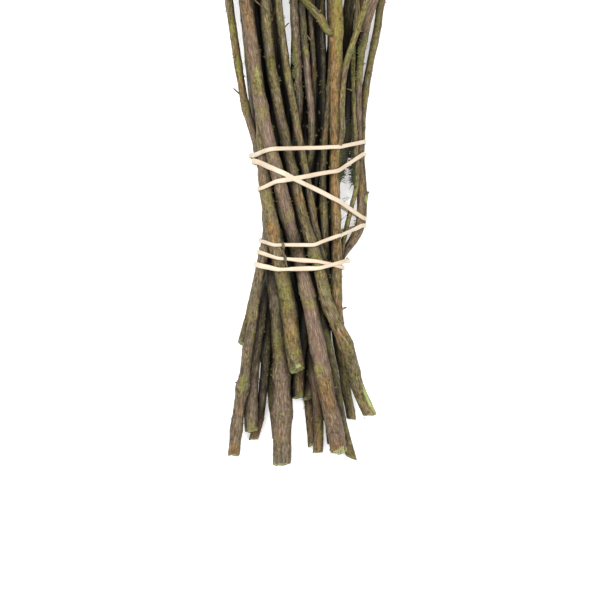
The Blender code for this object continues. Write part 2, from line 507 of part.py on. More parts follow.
def wind_band(band, waist):
    """Points, outward directions and layers of a band's three turns, in order along it."""
    turns = len(band.front)
    lift = BAND_CLEAR + band.thickness / 2
    paths = []
    for k, front in enumerate(band.front):
        start_of_next = band.front[(k + 1) % turns][0]
        back = [start_of_next, front[-1]]
        points = []
        for j in range(band.steps):
            angle = math.pi - 2 * math.pi * (j + 0.5) / band.steps
            on_front = angle > 0
            y = front[0][1] if j < band.steps / 4 else front[-1][1]
            for _ in range(TOUCH_TRIES):
                x, z, out = waist.touch(y, angle, lift)
                y = strand_height(front, back, x, on_front)
            points.append((x, y, z, out[0], out[1]))
        paths.append(np.array(points))
    heights = np.array([path[:, 1] for path in paths])
    layers = np.zeros((turns, band.steps))
    for upper in range(1, turns):
        for lower in range(upper):
            near = np.abs(heights[upper] - heights[lower])
            t = np.clip((band.width + CROSS_AIR + CROSS_RAMP - near) / CROSS_RAMP, 0, 1)
            over = (layers[lower] + 1) * t * t * (3 - 2 * t)
            layers[upper] = np.maximum(layers[upper], over)
    for path, layer in zip(paths, layers):
        path[:, 0] += path[:, 3] * layer * CROSS_LIFT
        path[:, 2] += path[:, 4] * layer * CROSS_LIFT
    return np.concatenate(paths)


def fill_spans(points):
    """Add points along the straight spans of a closed path, so that no step is too long."""
    rows = []
    for here, there in zip(points, np.roll(points, -1, axis=0)):
        steps = max(1, math.ceil(np.linalg.norm(there[:3] - here[:3]) / LONGEST_SPAN))
        for s in range(steps):
            rows.append(here + (there - here) * s / steps)
    return np.array(rows)


def thin_out(points):
    """Drop points that lie closer together than the shortest step."""
    kept = [points[0]]
    for point in points[1:]:
        if np.linalg.norm(point[:3] - kept[-1][:3]) >= SHORTEST_STEP:
            kept.append(point)
    return np.array(kept)


def clear_of_bark(points, band, waist):
    """Move each point out until the strip there clears the bark of every twig."""
    lift = BAND_CLEAR + band.thickness / 2
    for point in points:
        for edge in (-band.width / 2, 0, band.width / 2):
            rows = waist.circles(point[1] + edge)
            far = np.hypot(rows[:, 0] - point[0], rows[:, 1] - point[2])
            short = float((rows[:, 2] + lift - far).max())
            if short > 0:
                point[0] += point[3] * short
                point[2] += point[4] * short
    return points


def band_object(band, waist, collection, origin):
    """A flat strip that turns with what it lies on, closed into a loop."""
    path = thin_out(wind_band(band, waist))
    path = clear_of_bark(fill_spans(path), band, waist)
    places = path[:, :3]
    along = np.roll(places, -1, axis=0) - np.roll(places, 1, axis=0)
    along /= np.linalg.norm(along, axis=1)[:, None]
    out = np.stack([path[:, 3], np.zeros(len(path)), path[:, 4]], axis=1)
    out -= along * (out * along).sum(1)[:, None]
    out /= np.linalg.norm(out, axis=1)[:, None]
    side = np.cross(along, out)
    middle = (places.max(0) + places.min(0)) / 2
    shape = bmesh.new()
    corners = [(-1, -1), (1, -1), (1, 1), (-1, 1)]
    rings = []
    for place, s, o in zip(places - middle, side, out):
        rings.append([shape.verts.new((place + s * a * band.width / 2
                                       + o * b * band.thickness / 2) * MM) for a, b in corners])
    for here, there in zip(rings, rings[1:] + rings[:1]):
        for c in range(4):
            shape.faces.new((here[c], here[c - 1], there[c - 1], there[c]))
    bmesh.ops.triangulate(shape, faces=shape.faces)
    bmesh.ops.recalc_face_normals(shape, faces=shape.faces)
    mesh = bpy.data.meshes.new(band.name)
    shape.to_mesh(mesh)
    shape.free()
    mesh.shade_smooth()
    mesh.materials.append(new_material("rubber_of_" + band.name, RUBBER, RUBBER_ROUGHNESS))
    thing = bpy.data.objects.new(band.name, mesh)
    thing.location = middle * MM
    thing.parent = origin
    collection.objects.link(thing)
    return thing


def centre_on_surface(things, origin):
    """Move the parent so that the origin is on the surface, below the middle of the bundle."""
    bpy.context.view_layer.update()
    depsgraph = bpy.context.evaluated_depsgraph_get()
    corners = []
    for thing in things:
        mesh = thing.evaluated_get(depsgraph).to_mesh()
        flat = np.empty(len(mesh.vertices) * 3)
        mesh.vertices.foreach_get("co", flat)
        corners.append(flat.reshape(-1, 3) + np.array(thing.location))
        thing.evaluated_get(depsgraph).to_mesh_clear()
    every = np.concatenate(corners)
    low, high = every.min(0), every.max(0)
    origin.location = (-(low[0] + high[0]) / 2, -(low[1] + high[1]) / 2, -low[2])
    return (high - low) / MM


def main():
    for thing in list(bpy.data.objects):
        bpy.data.objects.remove(thing, do_unlink=True)
    collection = bpy.data.collections.new("bundle_of_twigs")
    bpy.context.scene.collection.children.link(collection)
    origin = bpy.data.objects.new("bundle_origin", None)
    collection.objects.link(origin)
    rings = ring_heights()
    pieces = draw_pieces(rings)
    clear = settle(pieces, rings)
    things = [twig_object(piece, rings, collection, origin) for piece in pieces]
    waist = Waist(pieces, rings)
    things += [band_object(band, waist, collection, origin) for band in BANDS]
    size = centre_on_surface(things, origin)
    bpy.context.view_layer.update()
    print("least air between twigs %.2f mm, size %s mm" % (clear, np.round(size, 1)))


main()
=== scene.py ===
"""Dress a bundle of twigs: bark, nodes, cut ends, lichen, side twiglets and rubber bands.

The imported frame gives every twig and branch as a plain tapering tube. Each one is replaced by
a finely modelled twig that follows the same line: ridged bark, swollen nodes with buds, crusts
of lichen, oblique cut ends with green cambium, and thin side twiglets towards the tips. The
rubber bands are rounded and given the small waves of stretched rubber.
"""
import json
import math
from collections import namedtuple

import bmesh
import bpy
import numpy as np
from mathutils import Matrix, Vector
from mathutils.bvhtree import BVHTree


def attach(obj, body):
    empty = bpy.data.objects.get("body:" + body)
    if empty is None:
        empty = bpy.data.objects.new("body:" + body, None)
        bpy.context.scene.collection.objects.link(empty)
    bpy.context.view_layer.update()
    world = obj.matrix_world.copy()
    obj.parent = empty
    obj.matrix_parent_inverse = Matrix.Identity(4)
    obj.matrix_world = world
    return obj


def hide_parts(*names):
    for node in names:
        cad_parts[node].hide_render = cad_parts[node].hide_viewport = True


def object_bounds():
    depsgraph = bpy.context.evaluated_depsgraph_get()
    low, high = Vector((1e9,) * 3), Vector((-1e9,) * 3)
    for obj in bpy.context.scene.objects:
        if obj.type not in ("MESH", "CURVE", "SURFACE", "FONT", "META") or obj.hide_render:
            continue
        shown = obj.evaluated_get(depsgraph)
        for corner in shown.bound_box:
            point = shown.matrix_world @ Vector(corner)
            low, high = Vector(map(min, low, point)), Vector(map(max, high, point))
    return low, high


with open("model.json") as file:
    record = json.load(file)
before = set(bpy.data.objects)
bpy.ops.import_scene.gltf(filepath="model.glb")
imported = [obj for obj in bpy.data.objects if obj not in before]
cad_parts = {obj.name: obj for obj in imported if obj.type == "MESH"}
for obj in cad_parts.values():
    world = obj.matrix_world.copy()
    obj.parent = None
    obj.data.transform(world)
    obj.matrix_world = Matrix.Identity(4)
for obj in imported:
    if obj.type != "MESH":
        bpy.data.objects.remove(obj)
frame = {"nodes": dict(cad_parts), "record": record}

bl_info = {
    "name": "Bundle of Twigs",
    "version": (1, 0, 0),
    "blender": (4, 5, 0),
    "location": "3D View > Sidebar > Twigs",
    "description": "Builds the bark, lichen, cut ends and rubber bands of a bundle of twigs",
    "category": "Object",
}

CAD_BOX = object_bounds()
MM = 0.001
UP = np.array([0.0, 0.0, 1.0])

# The waist lies this far from the middle of the thickest twig's cut end, in millimetres
THICK_CUT_END = np.array([-14.0, -129.5])
NECK_Y = 103.0            # above this height the twigs are outside the picture
LOWEST_SHOOT = 80.0       # height of the lowest side shoots

BANDS = ("upper_rubber_band", "lower_rubber_band")
SLOTS = {s["node"]: s["material_slot"] for s in frame["record"]["subparts"]}
TWIG_NODES = [n for n in SLOTS if n not in BANDS and not n.endswith("branch")]
BRANCH_NODES = [n for n in SLOTS if n.endswith("branch")]
BACK_NODES = [n for n in TWIG_NODES if n.startswith("back_twig")]
FRONT_NODES = [n for n in TWIG_NODES if n not in BACK_NODES]

PICTURE_MIDDLE = (-5, -47)   # what the camera looks at, in mm from the waist's middle
BOX_MARGIN = 4 * MM       # how far side shoots may stand out of the solids' box
FLOOR_AIR = 0.6 * MM      # least height of what grows on the twigs


def named(kind, table):
    """The same table with its rows as named rows."""
    return {key: [kind(*row) for row in rows] for key, rows in table.items()}


# Places on the twigs: height along the bundle in mm, side from -1 (left) to 1 (right), length,
# kind and strength. The kinds are lichen, violet, warm, fresh, knot and node
Mark = namedtuple("Mark", "y side length kind strength")
MARKS = named(Mark, {
    "left_edge_twig": [
        (89, 0, 8, "lichen", 0.8), (70, 0.1, 7, "lichen", 0.9), (80, 0.3, 5, "warm", 0.7),
        (60, 0.2, 6, "warm", 0.6), (40, 0.2, 14, "violet", 0.5), (49, 0.2, 5, "node", 1),
        (49, 0.2, 5, "lichen", 0.8), (-40, -0.2, 18, "lichen", 0.4)],
    "long_purple_twig": [
        (63, 0.3, 6, "fresh", 0.35), (60, -0.1, 9, "lichen", 0.7), (92, 0, 12, "warm", 0.5),
        (80, 0.5, 12, "violet", 0.5), (38, 0.4, 18, "violet", 0.8), (5, 0.2, 26, "violet", 0.7),
        (-40, 0.1, 14, "violet", 0.9), (-68, 0.2, 18, "violet", 1), (-92, 0.2, 14, "warm", 0.6),
        (-112, 0.2, 12, "violet", 0.5), (-70, 0, 4, "node", 0.7), (-88, 0, 4, "node", 0.7),
        (-49, 0.1, 3, "lichen", 0.9), (-80, -0.3, 5, "lichen", 0.8), (-122.5, 0.5, 1, "fresh", 0.8),
        (-121.5, -0.5, 1.4, "warm", 1)],
    "thick_front_twig": [
        (-13, 0, 5, "warm", 1), (-44, 0.1, 9, "lichen", 0.7), (-60, 0, 16, "warm", 0.5),
        (-81, 0.35, 1.2, "fresh", 0.8)],
    "thick_long_twig": [
        (-105.5, 0, 3, "knot", 1), (-48.5, 0, 3, "node", 1), (-84.5, 0, 3, "node", 1.2),
        (-68, -0.2, 12, "lichen", 0.8), (-95, 0.3, 30, "violet", 0.5)],
    "left_long_twig": [
        (-89.5, 0, 4, "node", 1.6), (-88, -0.2, 6, "lichen", 0.8), (-122, 0, 4, "warm", 0.9),
        (-108, 0.3, 14, "violet", 0.4), (75, -0.7, 12, "lichen", 0.9)],
    "left_short_twig": [
        (-108, -0.1, 8, "lichen", 0.6), (78, 0.2, 2.5, "lichen", 1), (60, 0.1, 20, "violet", 0.7),
        (-100, 0.3, 22, "violet", 0.5)],
    "olive_kinked_twig": [
        (-68.5, 0.2, 4, "node", 1.3), (-70, 0.3, 4, "lichen", 0.6), (-97, 0.85, 9, "fresh", 1),
        (71, 0, 4, "lichen", 0.8)],
    "olive_straight_twig": [
        (84, 0.1, 18, "lichen", 0.5), (-85, 0.2, 10, "lichen", 0.6)],
    "orange_front_twig": [
        (101, 0.9, 4, "lichen", 1), (96, 0.1, 14, "lichen", 0.8), (82, 0.6, 18, "lichen", 0.8),
        (66, -0.1, 40, "warm", 0.8), (30, 0.1, 40, "warm", 0.7), (88, 0.1, 3, "node", 1)],
    "right_outer_twig": [
        (13, 0, 5, "lichen", 0.9), (6.5, 0.4, 2, "node", 2.2), (4, 0.7, 2, "fresh", 0.8),
        (85, 0, 26, "lichen", 0.7)],
    "right_inner_twig": [
        (73, -0.1, 14, "lichen", 1), (98, 0.2, 12, "violet", 0.7), (50, 0.2, 16, "violet", 0.6),
        (-80, 0.2, 16, "warm", 0.7), (-94, 0.4, 3, "fresh", 0.8)],
    "beside_long_twig": [
        (-63.5, -0.2, 3, "lichen", 1), (-66, -0.6, 3, "lichen", 0.9)],
    "short_dark_twig": [
        (-94, 0.2, 3, "lichen", 0.7), (-86, 0.3, 12, "warm", 0.6)],
    "lower_middle_twig": [
        (-104, 0.1, 26, "warm", 0.7), (-90, -0.2, 20, "violet", 0.5)],
    "lower_notched_twig": [
        (-104, 0.1, 26, "warm", 0.6)],
    "orange_twig_right_branch": [
        (77, 0, 8, "lichen", 0.9)],
})

# How far a mark of each kind reaches round its twig, as an angle
MARK_WIDTHS = {"lichen": 0.9, "fresh": 0.45, "warm": 0.9, "violet": 1.3}

# How far each cut faces up and to the right, for 1 of facing straight out of the bundle
CUT_FACING = {
    "thick_front_twig": (0.30, 0.30), "long_purple_twig": (0.28, 0.15),
    "thick_long_twig": (0.16, 0.1), "left_long_twig": (0.12, 0.0),
    "olive_kinked_twig": (0.20, 0.15), "right_inner_twig": (0.35, 0.25),
    "short_dark_twig": (0.30, 0.1), "left_edge_twig": (0.35, -0.5),
    "left_short_twig": (0.2, 0.15), "olive_straight_twig": (0.15, -0.1),
    "lower_notched_twig": (0.3, 0.6), "beside_long_twig": (0.2, -0.4),
}
PLAIN_FACING = (0.15, 0.1)
BRIGHT_CUTS = {"thick_front_twig": 0.75, "long_purple_twig": 0.9, "left_edge_twig": 0.6,
               "right_inner_twig": 0.5, "short_dark_twig": 0.6, "left_short_twig": 0.5}
DULL_CUT = 0.25           # how green the wood of the other cuts is
CAP_RINGS = (1.0, 0.95, 0.86, 0.78, 0.62, 0.45, 0.28, 0.14)   # rings of an end, from its rim inwards

# Twigs that are fuller than their solids, to close gaps: by how much, and the heights between
# which that sets in and fades out. They are the hidden ones above the tie, and one below it
BACK_FILL = (0.15, (10, 30), (110, 130))
SLIT_FILL = (0.46, (-116, -104), (-62, -50))

# How far below a fork its branch starts inside the twig, for 1 of distance between the two
BRANCH_LEAN = 1.6
STUB_LEAN = 0.3           # the lichened stub stands out more steeply

KNOT_SIZE = (1.6 * MM, 2.1 * MM)   # half the width and half the length of a knot

# Short spurs and dead stubs: twig, height, side, length and radius in mm
Spur = namedtuple("Spur", "twig y side length radius")
SPURS = [Spur(*row) for row in (
    ("left_edge_twig", 56, -0.9, 4.5, 0.45), ("left_long_twig", 58, -0.2, 3, 0.40),
    ("olive_straight_twig", 89, 0.9, 3.5, 0.45), ("orange_front_twig", -52, 0.95, 3, 0.55),
    ("right_thin_twig", 58, -0.9, 2.6, 0.40), ("right_outer_twig", 6, 0.8, 1.6, 0.60),
    ("right_inner_twig", 71, 0.6, 3, 0.40), ("thick_long_twig", -85, -0.95, 1.4, 0.50),
    ("left_long_twig", -89, -0.95, 1.8, 0.50), ("long_purple_twig", -92, 0.97, 1.6, 0.45),
    ("left_short_twig", -88, 0.9, 1.8, 0.40), ("centre_thin_twig", 66, 0.9, 2.2, 0.35),
    ("orange_twig_left_branch", 95, 0.5, 2.4, 0.50))]

# Tufts of lichen and of dark moss: twig, height, side, reach in mm and number of strands
Tuft = namedtuple("Tuft", "twig y side reach strands")
TUFTS = named(Tuft, {
    "lichen_tufts": [
        ("left_long_twig", 74, -0.8, 2.5, 60), ("left_long_twig", 67, -0.9, 2.5, 50),
        ("left_long_twig", 60, -0.7, 2, 40), ("olive_kinked_twig", -24, -0.8, 1.6, 30),
        ("right_inner_twig", 84, 0.1, 3, 80), ("right_inner_twig", 78, -0.3, 2.5, 60),
        ("right_inner_twig", 73, 0.3, 2.5, 60), ("right_inner_twig", 66, -0.2, 2, 45),
        ("orange_twig_right_branch", 77, 0.3, 2, 50), ("orange_twig_left_branch", 93, -0.4, 2, 40),
        ("left_edge_twig", 51, -0.3, 1.6, 30), ("left_long_twig", -89, 0.2, 1.5, 25)],
    "moss_tufts": [
        ("orange_front_twig", 40, 0.9, 4, 170), ("orange_front_twig", 33, 0.9, 3, 120),
        ("right_thin_twig", 37, -0.9, 4, 110), ("orange_front_twig", 23, 0.9, 3.5, 220),
        ("orange_front_twig", 16, 0.9, 3, 170), ("right_thin_twig", 20, -0.9, 4, 150),
        ("right_thin_twig", 29, -0.95, 3.5, 150), ("orange_front_twig", 28, 0.95, 3.5, 130),
        ("right_thin_twig", 14, -0.95, 2.5, 110)],
})

# Side shoots: how far they lean out, shortest and longest length as a share of the usual one,
# greatest radius, least and most distance between two in mm, bare stretch at the tip, and the
# share of their length that is left to those in the picture
Shoots = namedtuple("Shoots", "lean lengths radius gaps bare_tip shown")
TWIG_SHOOTS = Shoots(0.75, (0.35, 1.5), 0.55 * MM, (9, 24), 5 * MM, 0.15)
BRANCH_SHOOTS = Shoots(0.7, (0.3, 1.0), 0.5 * MM, (10, 26), 4 * MM, 1.0)
BUD_CHANCE = 0.45         # share of the nodes that bear a bud

# Corners round a twig, and spacing of its rings for 1 of the front twigs' spacing
FRONT_SIDES, PLAIN_SIDES = 22, 12
BACK_STEP, BRANCH_STEP = 1.8, 1.5

MOSS_LENGTH = 2.1         # how much longer the strands of moss are
MOSS_WIDTH = 1.6          # and how much thicker
FUZZ_SPACING = 5.4        # distance between the specks of lichen along a twig, in mm
FUZZ_STRANDS = (3, 8)     # fewest short strands in a speck, and one more than the most
FUZZ_LENGTH = (0.4, 1.7)  # and their lengths in mm
HIDDEN_DEPTH = 3.5 * MM   # specks that lie this far below what is beside them are left out

# Loose fibres: start and end (x, y), rise above what lies below, and radius, all in mm
Fibre = namedtuple("Fibre", "start end rise radius")
FIBRES = named(Fibre, {
    "dark_hairs": [
        ((15.2, -7.5), (19.0, -4.3), 1, 0.17), ((16.5, 4.2), (20.5, 5.0), 1, 0.16),
        ((17.0, 2.5), (19.8, 4.6), 1.2, 0.15), ((-38.0, 60.0), (-34.5, 56.5), 0.8, 0.13),
        ((16.0, -59.0), (18.5, -56.0), 0.8, 0.14)],
    "frayed_fibres": [
        ((10.0, -122.5), (11.2, -128.8), 0.4, 0.22), ((13.0, -122.0), (13.4, -124.6), 0.8, 0.30),
        ((14.0, -122.0), (14.1, -125.0), 0.9, 0.34), ((16.6, -121.6), (17.2, -124.6), 0.8, 0.34),
        ((17.8, -121.0), (18.8, -123.6), 0.7, 0.26), ((15.0, -122.4), (15.0, -125.2), 0.5, 0.28)],
})

# The bands' front strands: place (x, y) and width in mm
STRAND_WIDTHS = {
    "upper_rubber_band": [
        (-20, 27.3, 2.3), (5, 28.5, 2.2), (20, 30.5, 2.2), (-21, 10, 2.1), (13.5, 17, 2.2),
        (21, 22.3, 2), (-22.5, 19.5, 3), (-15, 16, 2.8), (7.5, 6.5, 2.6), (21.5, -3, 2.4)],
    "lower_rubber_band": [
        (-17.5, -20, 1.9), (5, -19.3, 2), (20, -11.8, 1.8), (-15, -26.8, 1.8), (5, -28, 1.8),
        (-22, -31, 2.8), (0, -31.5, 2.7), (12, -29.5, 2.2)],
}
WIDTH_REACH = 4.0         # how far one of these widths reaches
SEEN_WIDTH = 0.92         # narrowing of all strands, for their rounded edges
BACK_WIDTH = 2.3          # width of the strands behind the bundle
BAND_STEP = 0.7 * MM      # spacing of the rings of a band in the picture
BAND_SIDES = 14           # corners of each of these rings
BAND_EDGE = 0.6           # its form: 1 is a flattened round, near 0 a sharp rectangle
TURN_LEAST = 12 * MM      # a band turns back at a side at least this far from the middle
TURN_SPAN = 12            # rings on either side that a turn must lie outside of
TURN_REACH = 4.5 * MM     # how far from a turn the band is drawn in
SIDE_AIR = 0.15 * MM      # air between a band and the bark at the sides of the bundle

# The strip of bark that lies over the lower band, and the thin shoot that crosses at the top
STRIP_ROUTE = [(-14.6, -11), (-14.2, -14), (-14, -17), (-13.2, -20), (-13.4, -23), (-12.4, -26),
               (-12, -29), (-11, -31)]
SHOOT_ROUTE = [(-33.5, 111), (-30.5, 107), (-27.5, 103), (-24, 99.5), (-20.5, 96), (-17, 93.5)]


def rgb(red, green, blue):
    """A colour as seen on a screen, from 0 to 255, in the linear values that shaders take."""
    def linear(value):
        value /= 255
        return value / 12.92 if value <= 0.04045 else ((value + 0.055) / 1.055) ** 2.4
    return (linear(red), linear(green), linear(blue))


def colour_property(name, description, colour):
    return bpy.props.FloatVectorProperty(name=name, description=description, default=colour,
                                         size=3, min=0, max=1, subtype="COLOR")


def length_property(name, description, default, least=0.0):
    return bpy.props.FloatProperty(name=name, description=description, default=default,
                                   min=least, unit="LENGTH", subtype="DISTANCE")


def share_property(name, description, default):
    return bpy.props.FloatProperty(name=name, description=description, default=default,
                                   min=0.0, max=1.0, subtype="FACTOR")


class BundleSizes(bpy.types.PropertyGroup):
    ring_step: length_property(
        "Ring step", "Spacing of the rings of a twig in the picture", 0.9 * MM, 0.3 * MM)
    ridge_depth: share_property(
        "Ridge depth", "Depth of the bark's long ridges, as a share of the radius", 0.06)
    flake_depth: length_property(
        "Flake depth", "Height of the bark's small flakes", 0.09 * MM)
    crust_height: length_property(
        "Lichen height", "How far a crust of lichen stands off the bark", 0.15 * MM)
    node_spacing: length_property(
        "Node spacing", "Distance between the swollen nodes near a cut end", 34 * MM, 5 * MM)
    twiglet_length: length_property(
        "Twiglet length", "Usual length of a thin side twiglet", 26 * MM, 2 * MM)
    strand_length: length_property(
        "Tuft length", "Length of the strands in a tuft of lichen", 2.4 * MM, 0.5 * MM)


class BundleColours(bpy.types.PropertyGroup):
    olive: colour_property("Olive bark", "Main bark of the olive twigs", rgb(110, 97, 58))
    brown: colour_property("Brown bark", "Main bark of the brown twigs", rgb(110, 94, 72))
    purple: colour_property("Purple bark", "Main bark of the purple twigs", rgb(110, 88, 66))
    orange: colour_property("Orange bark", "Main bark of the orange twig", rgb(122, 100, 56))
    green: colour_property("Green bark", "Main bark of the green twigs", rgb(106, 99, 48))
    # Dark bark is partly painted shade: the twigs that get it are darkened so that the gaps between the
    # front twigs look dark.
    dark: colour_property("Dark bark", "Main bark of the shaded twigs", rgb(78, 68, 48))
    violet: colour_property("Violet patches", "Smooth young patches", rgb(124, 100, 88))
    warm: colour_property("Orange patches", "Rubbed orange patches", rgb(142, 104, 58))
    lichen: colour_property("Lichen", "Yellow green crusts", rgb(122, 120, 46))
    crust: colour_property("Old lichen", "Pale crumbs in the lichen", rgb(160, 156, 92))
    fresh: colour_property("Cambium", "Bright green where the bark is off", rgb(170, 182, 106))
    wood: colour_property("Cut wood", "Wood of a fresh cut", rgb(172, 156, 110))
    pith: colour_property("Pith", "Middle of a cut", rgb(128, 102, 62))
    pale: colour_property("Pale streaks", "Grey skin that is left on the ridges", rgb(178, 160, 128))
    crack: colour_property("Cracks", "Dark lines between the ridges", rgb(34, 28, 18))
    tuft: colour_property("Tufts", "Tufts of grey green lichen", rgb(112, 116, 80))
    moss: colour_property("Moss", "Dark moss between the twigs", rgb(46, 48, 30))
    rubber: colour_property("Rubber", "Cream rubber of the bands", rgb(208, 193, 170))


class BundleStage(bpy.types.PropertyGroup):
    floor: colour_property("Floor", "Pale floor", rgb(246, 246, 246))
    camera_height: length_property(
        "Camera height", "Height of the camera above the bundle", 1.5, 0.1)
    camera_lens: bpy.props.FloatProperty(
        name="Lens", description="Focal length of the camera in millimetres",
        default=180.0, min=10.0, unit="CAMERA")
    light_power: bpy.props.FloatProperty(
        name="Key light", description="Power of the large light above the bundle",
        default=18.4, min=0.0, unit="POWER")
    sky: share_property("Room light", "Strength of the even light from all round", 0.10)
    floor_glow: share_property(
        "Floor glow", "Light of its own that keeps the floor pale in the gaps", 0.45)


def sizes():
    return bpy.context.scene.bundle_sizes


def colours():
    return bpy.context.scene.bundle_colours


def stage_settings():
    return bpy.context.scene.bundle_stage


# Noise

def lattice(cells, seed):
    """A fixed random number from 0 to 1 for each whole-numbered cell."""
    mix = cells[..., 0] * 73856093 ^ cells[..., 1] * 19349663 ^ cells[..., 2] * 83492791
    mix = (mix ^ seed * 97531) & 0xFFFFFFFF
    mix = (mix ^ (mix >> 15)) * 2246822519 & 0xFFFFFFFF
    mix = (mix ^ (mix >> 13)) * 3266489917 & 0xFFFFFFFF
    return ((mix ^ (mix >> 16)) & 0xFFFFFF) / 0xFFFFFF


def noise(points, seed):
    """Smooth noise from -1 to 1, with one swell for each unit of distance."""
    cells = np.floor(points).astype(np.int64)
    t = points - cells
    t = t * t * (3 - 2 * t)
    total = 0
    for i in (0, 1):
        for j in (0, 1):
            for k in (0, 1):
                share = (np.abs(1 - i - t[..., 0]) * np.abs(1 - j - t[..., 1])
                         * np.abs(1 - k - t[..., 2]))
                total = total + share * lattice(cells + np.array([i, j, k]), seed)
    return total * 2 - 1


def layered(points, seed):
    """Noise with finer noise on top of it."""
    total, strength, whole = 0, 1.0, 0
    for k in range(3):
        total = total + strength * noise(points * 2 ** k, seed + 31 * k)
        whole += strength
        strength *= 0.5
    return total / whole


def ease(value, low, high):
    """0 below low, 1 above high, and smooth between them."""
    t = np.clip((value - low) / (high - low), 0, 1)
    return t * t * (3 - 2 * t)


def number_of(name):
    """A fixed number for a name, to seed what is drawn at random for that piece."""
    total = 7
    for letter in name:
        total = (total * 31 + ord(letter)) % 1000003
    return total


# Lines and directions

def unit(ways):
    """The same directions, each of them 1 long."""
    return ways / (np.linalg.norm(ways, axis=1)[:, None] if ways.ndim > 1 else np.linalg.norm(ways))


def nearest(values, value):
    """Place in a row of values of the one that is nearest to this value."""
    return int(np.abs(values - value).argmin())


def outward(turn, right, up):
    """The direction that lies this far round a twig, from its right over its top."""
    return math.cos(turn) * right + math.sin(turn) * up


def wrapped(angle):
    """The same angle between minus and plus half a turn."""
    return (angle + math.pi) % (2 * math.pi) - math.pi


def evened(rows, axis=0):
    """Each row of a closed ring of them drawn towards the rows on both sides."""
    return (np.roll(rows, 1, axis=axis) + 2 * rows + np.roll(rows, -1, axis=axis)) / 4


def along_line(line):
    """How far along a line each of its points lies."""
    steps = np.linalg.norm(np.diff(line, axis=0), axis=1)
    return np.concatenate([[0], np.cumsum(steps)])


def rings_of(node):
    """Middle and radius of each ring of a packed twig, from its cut end to its tip."""
    mesh = frame["nodes"][node].data
    flat = np.empty(len(mesh.vertices) * 3)
    mesh.vertices.foreach_get("co", flat)
    corners = np.unique(np.round(flat.reshape(-1, 3), 7), axis=0)
    best = None
    for sides in (6, 8):
        if len(corners) % sides:
            continue
        order = corners[:, 1]
        for _ in range(4):
            rings = corners[np.argsort(order, kind="stable")].reshape(-1, sides, 3)
            middle = rings.mean(1)
            order = place_along(corners, middle)
        far = np.linalg.norm(rings - middle[:, None], axis=2)
        uneven = float((far.std(1) / far.mean(1)).max())
        if best is None or uneven < best[0]:
            best = (uneven, middle, far.mean(1))
    if best is None:
        raise RuntimeError("the rings of %s can't be read" % node)
    return best[1], best[2]


def place_along(points, line):
    """Distance along a line of the nearest place to each point, running on past both ends."""
    reach = along_line(line)
    start, step = line[:-1], np.diff(line, axis=0)
    length = np.linalg.norm(step, axis=1)
    t = ((points[:, None] - start) * step).sum(2) / length ** 2
    low = np.where(np.arange(len(step)) == 0, -1.0, 0.0)
    high = np.where(np.arange(len(step)) == len(step) - 1, 2.0, 1.0)
    t = np.clip(t, low, high)
    gap = np.linalg.norm(points[:, None] - start - t[..., None] * step, axis=2)
    piece = gap.argmin(1)
    return reach[piece] + t[np.arange(len(points)), piece] * length[piece]


def curve_through(rows, reach, at):
    """Rows at these distances along a smooth curve through the given rows, which lie at reach."""
    slopes = np.gradient(rows, reach, axis=0)
    k = np.clip(np.searchsorted(reach, at, side="right") - 1, 0, len(reach) - 2)
    span = (reach[k + 1] - reach[k])[:, None]
    t = ((at - reach[k]) / span[:, 0])[:, None]
    return (rows[k] * (2 * t**3 - 3 * t**2 + 1) + slopes[k] * span * (t**3 - 2 * t**2 + t)
            + rows[k + 1] * (3 * t**2 - 2 * t**3) + slopes[k + 1] * span * (t**3 - t**2))


def smooth_line(middles, radii, step):
    """A fine smooth line through the rings, with its radii and the distance along it."""
    reach = along_line(middles)
    at = np.linspace(0, reach[-1], max(6, int(reach[-1] / step)))
    line = curve_through(middles, reach, at)
    return line, np.interp(at, reach, radii), along_line(line)


def directions(line):
    """Along, right and up directions at each point of a line that lies more or less flat."""
    along = unit(np.gradient(line, axis=0))
    right = unit(np.cross(along, UP))
    return along, right, np.cross(right, along)


# Line and radii of each twig and branch that is modelled, for what grows on it later
LINES = {}


def drawing_origin():
    """Where the waist's middle is: the routes and marks are drawn from there."""
    middles, _ = rings_of("thick_long_twig")
    return middles[0, :2] - THICK_CUT_END * MM


ORIGIN = drawing_origin()


def heights(line):
    """Height along the bundle of each point of a line, in mm above the waist."""
    return (line[:, 1] - ORIGIN[1]) / MM


def packed_surface(bands_too):
    """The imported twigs, and the bands if asked, as one tree that rays can be sent through."""
    corners, faces = [], []
    for name, thing in frame["nodes"].items():
        if name in BANDS and not bands_too:
            continue
        base = len(corners)
        corners += [vertex.co.copy() for vertex in thing.data.vertices]
        faces += [[base + k for k in face.vertices] for face in thing.data.polygons]
    return BVHTree.FromPolygons(corners, faces)


TWIG_SURFACE = packed_surface(False)
SURFACE = packed_surface(True)
# The rays below measure how shut in the bark is among the twigs; that sets the painted shade which darkens
# it.
LOOK_ROUND = 12           # rays sent out from each place to see how crowded it is
LOOK_REACH = 16 * MM      # and how far they look
LOOK_SIDES = 8
LOOK_STEP = 4 * MM        # spacing along a twig of the places that are looked at


def top_at(x, y):
    """Height of the bundle's top surface at a place, or of the floor beside it."""
    hit = SURFACE.ray_cast(Vector((x, y, 0.2)), Vector((0, 0, -1)))[0]
    return hit.z if hit else 0.0


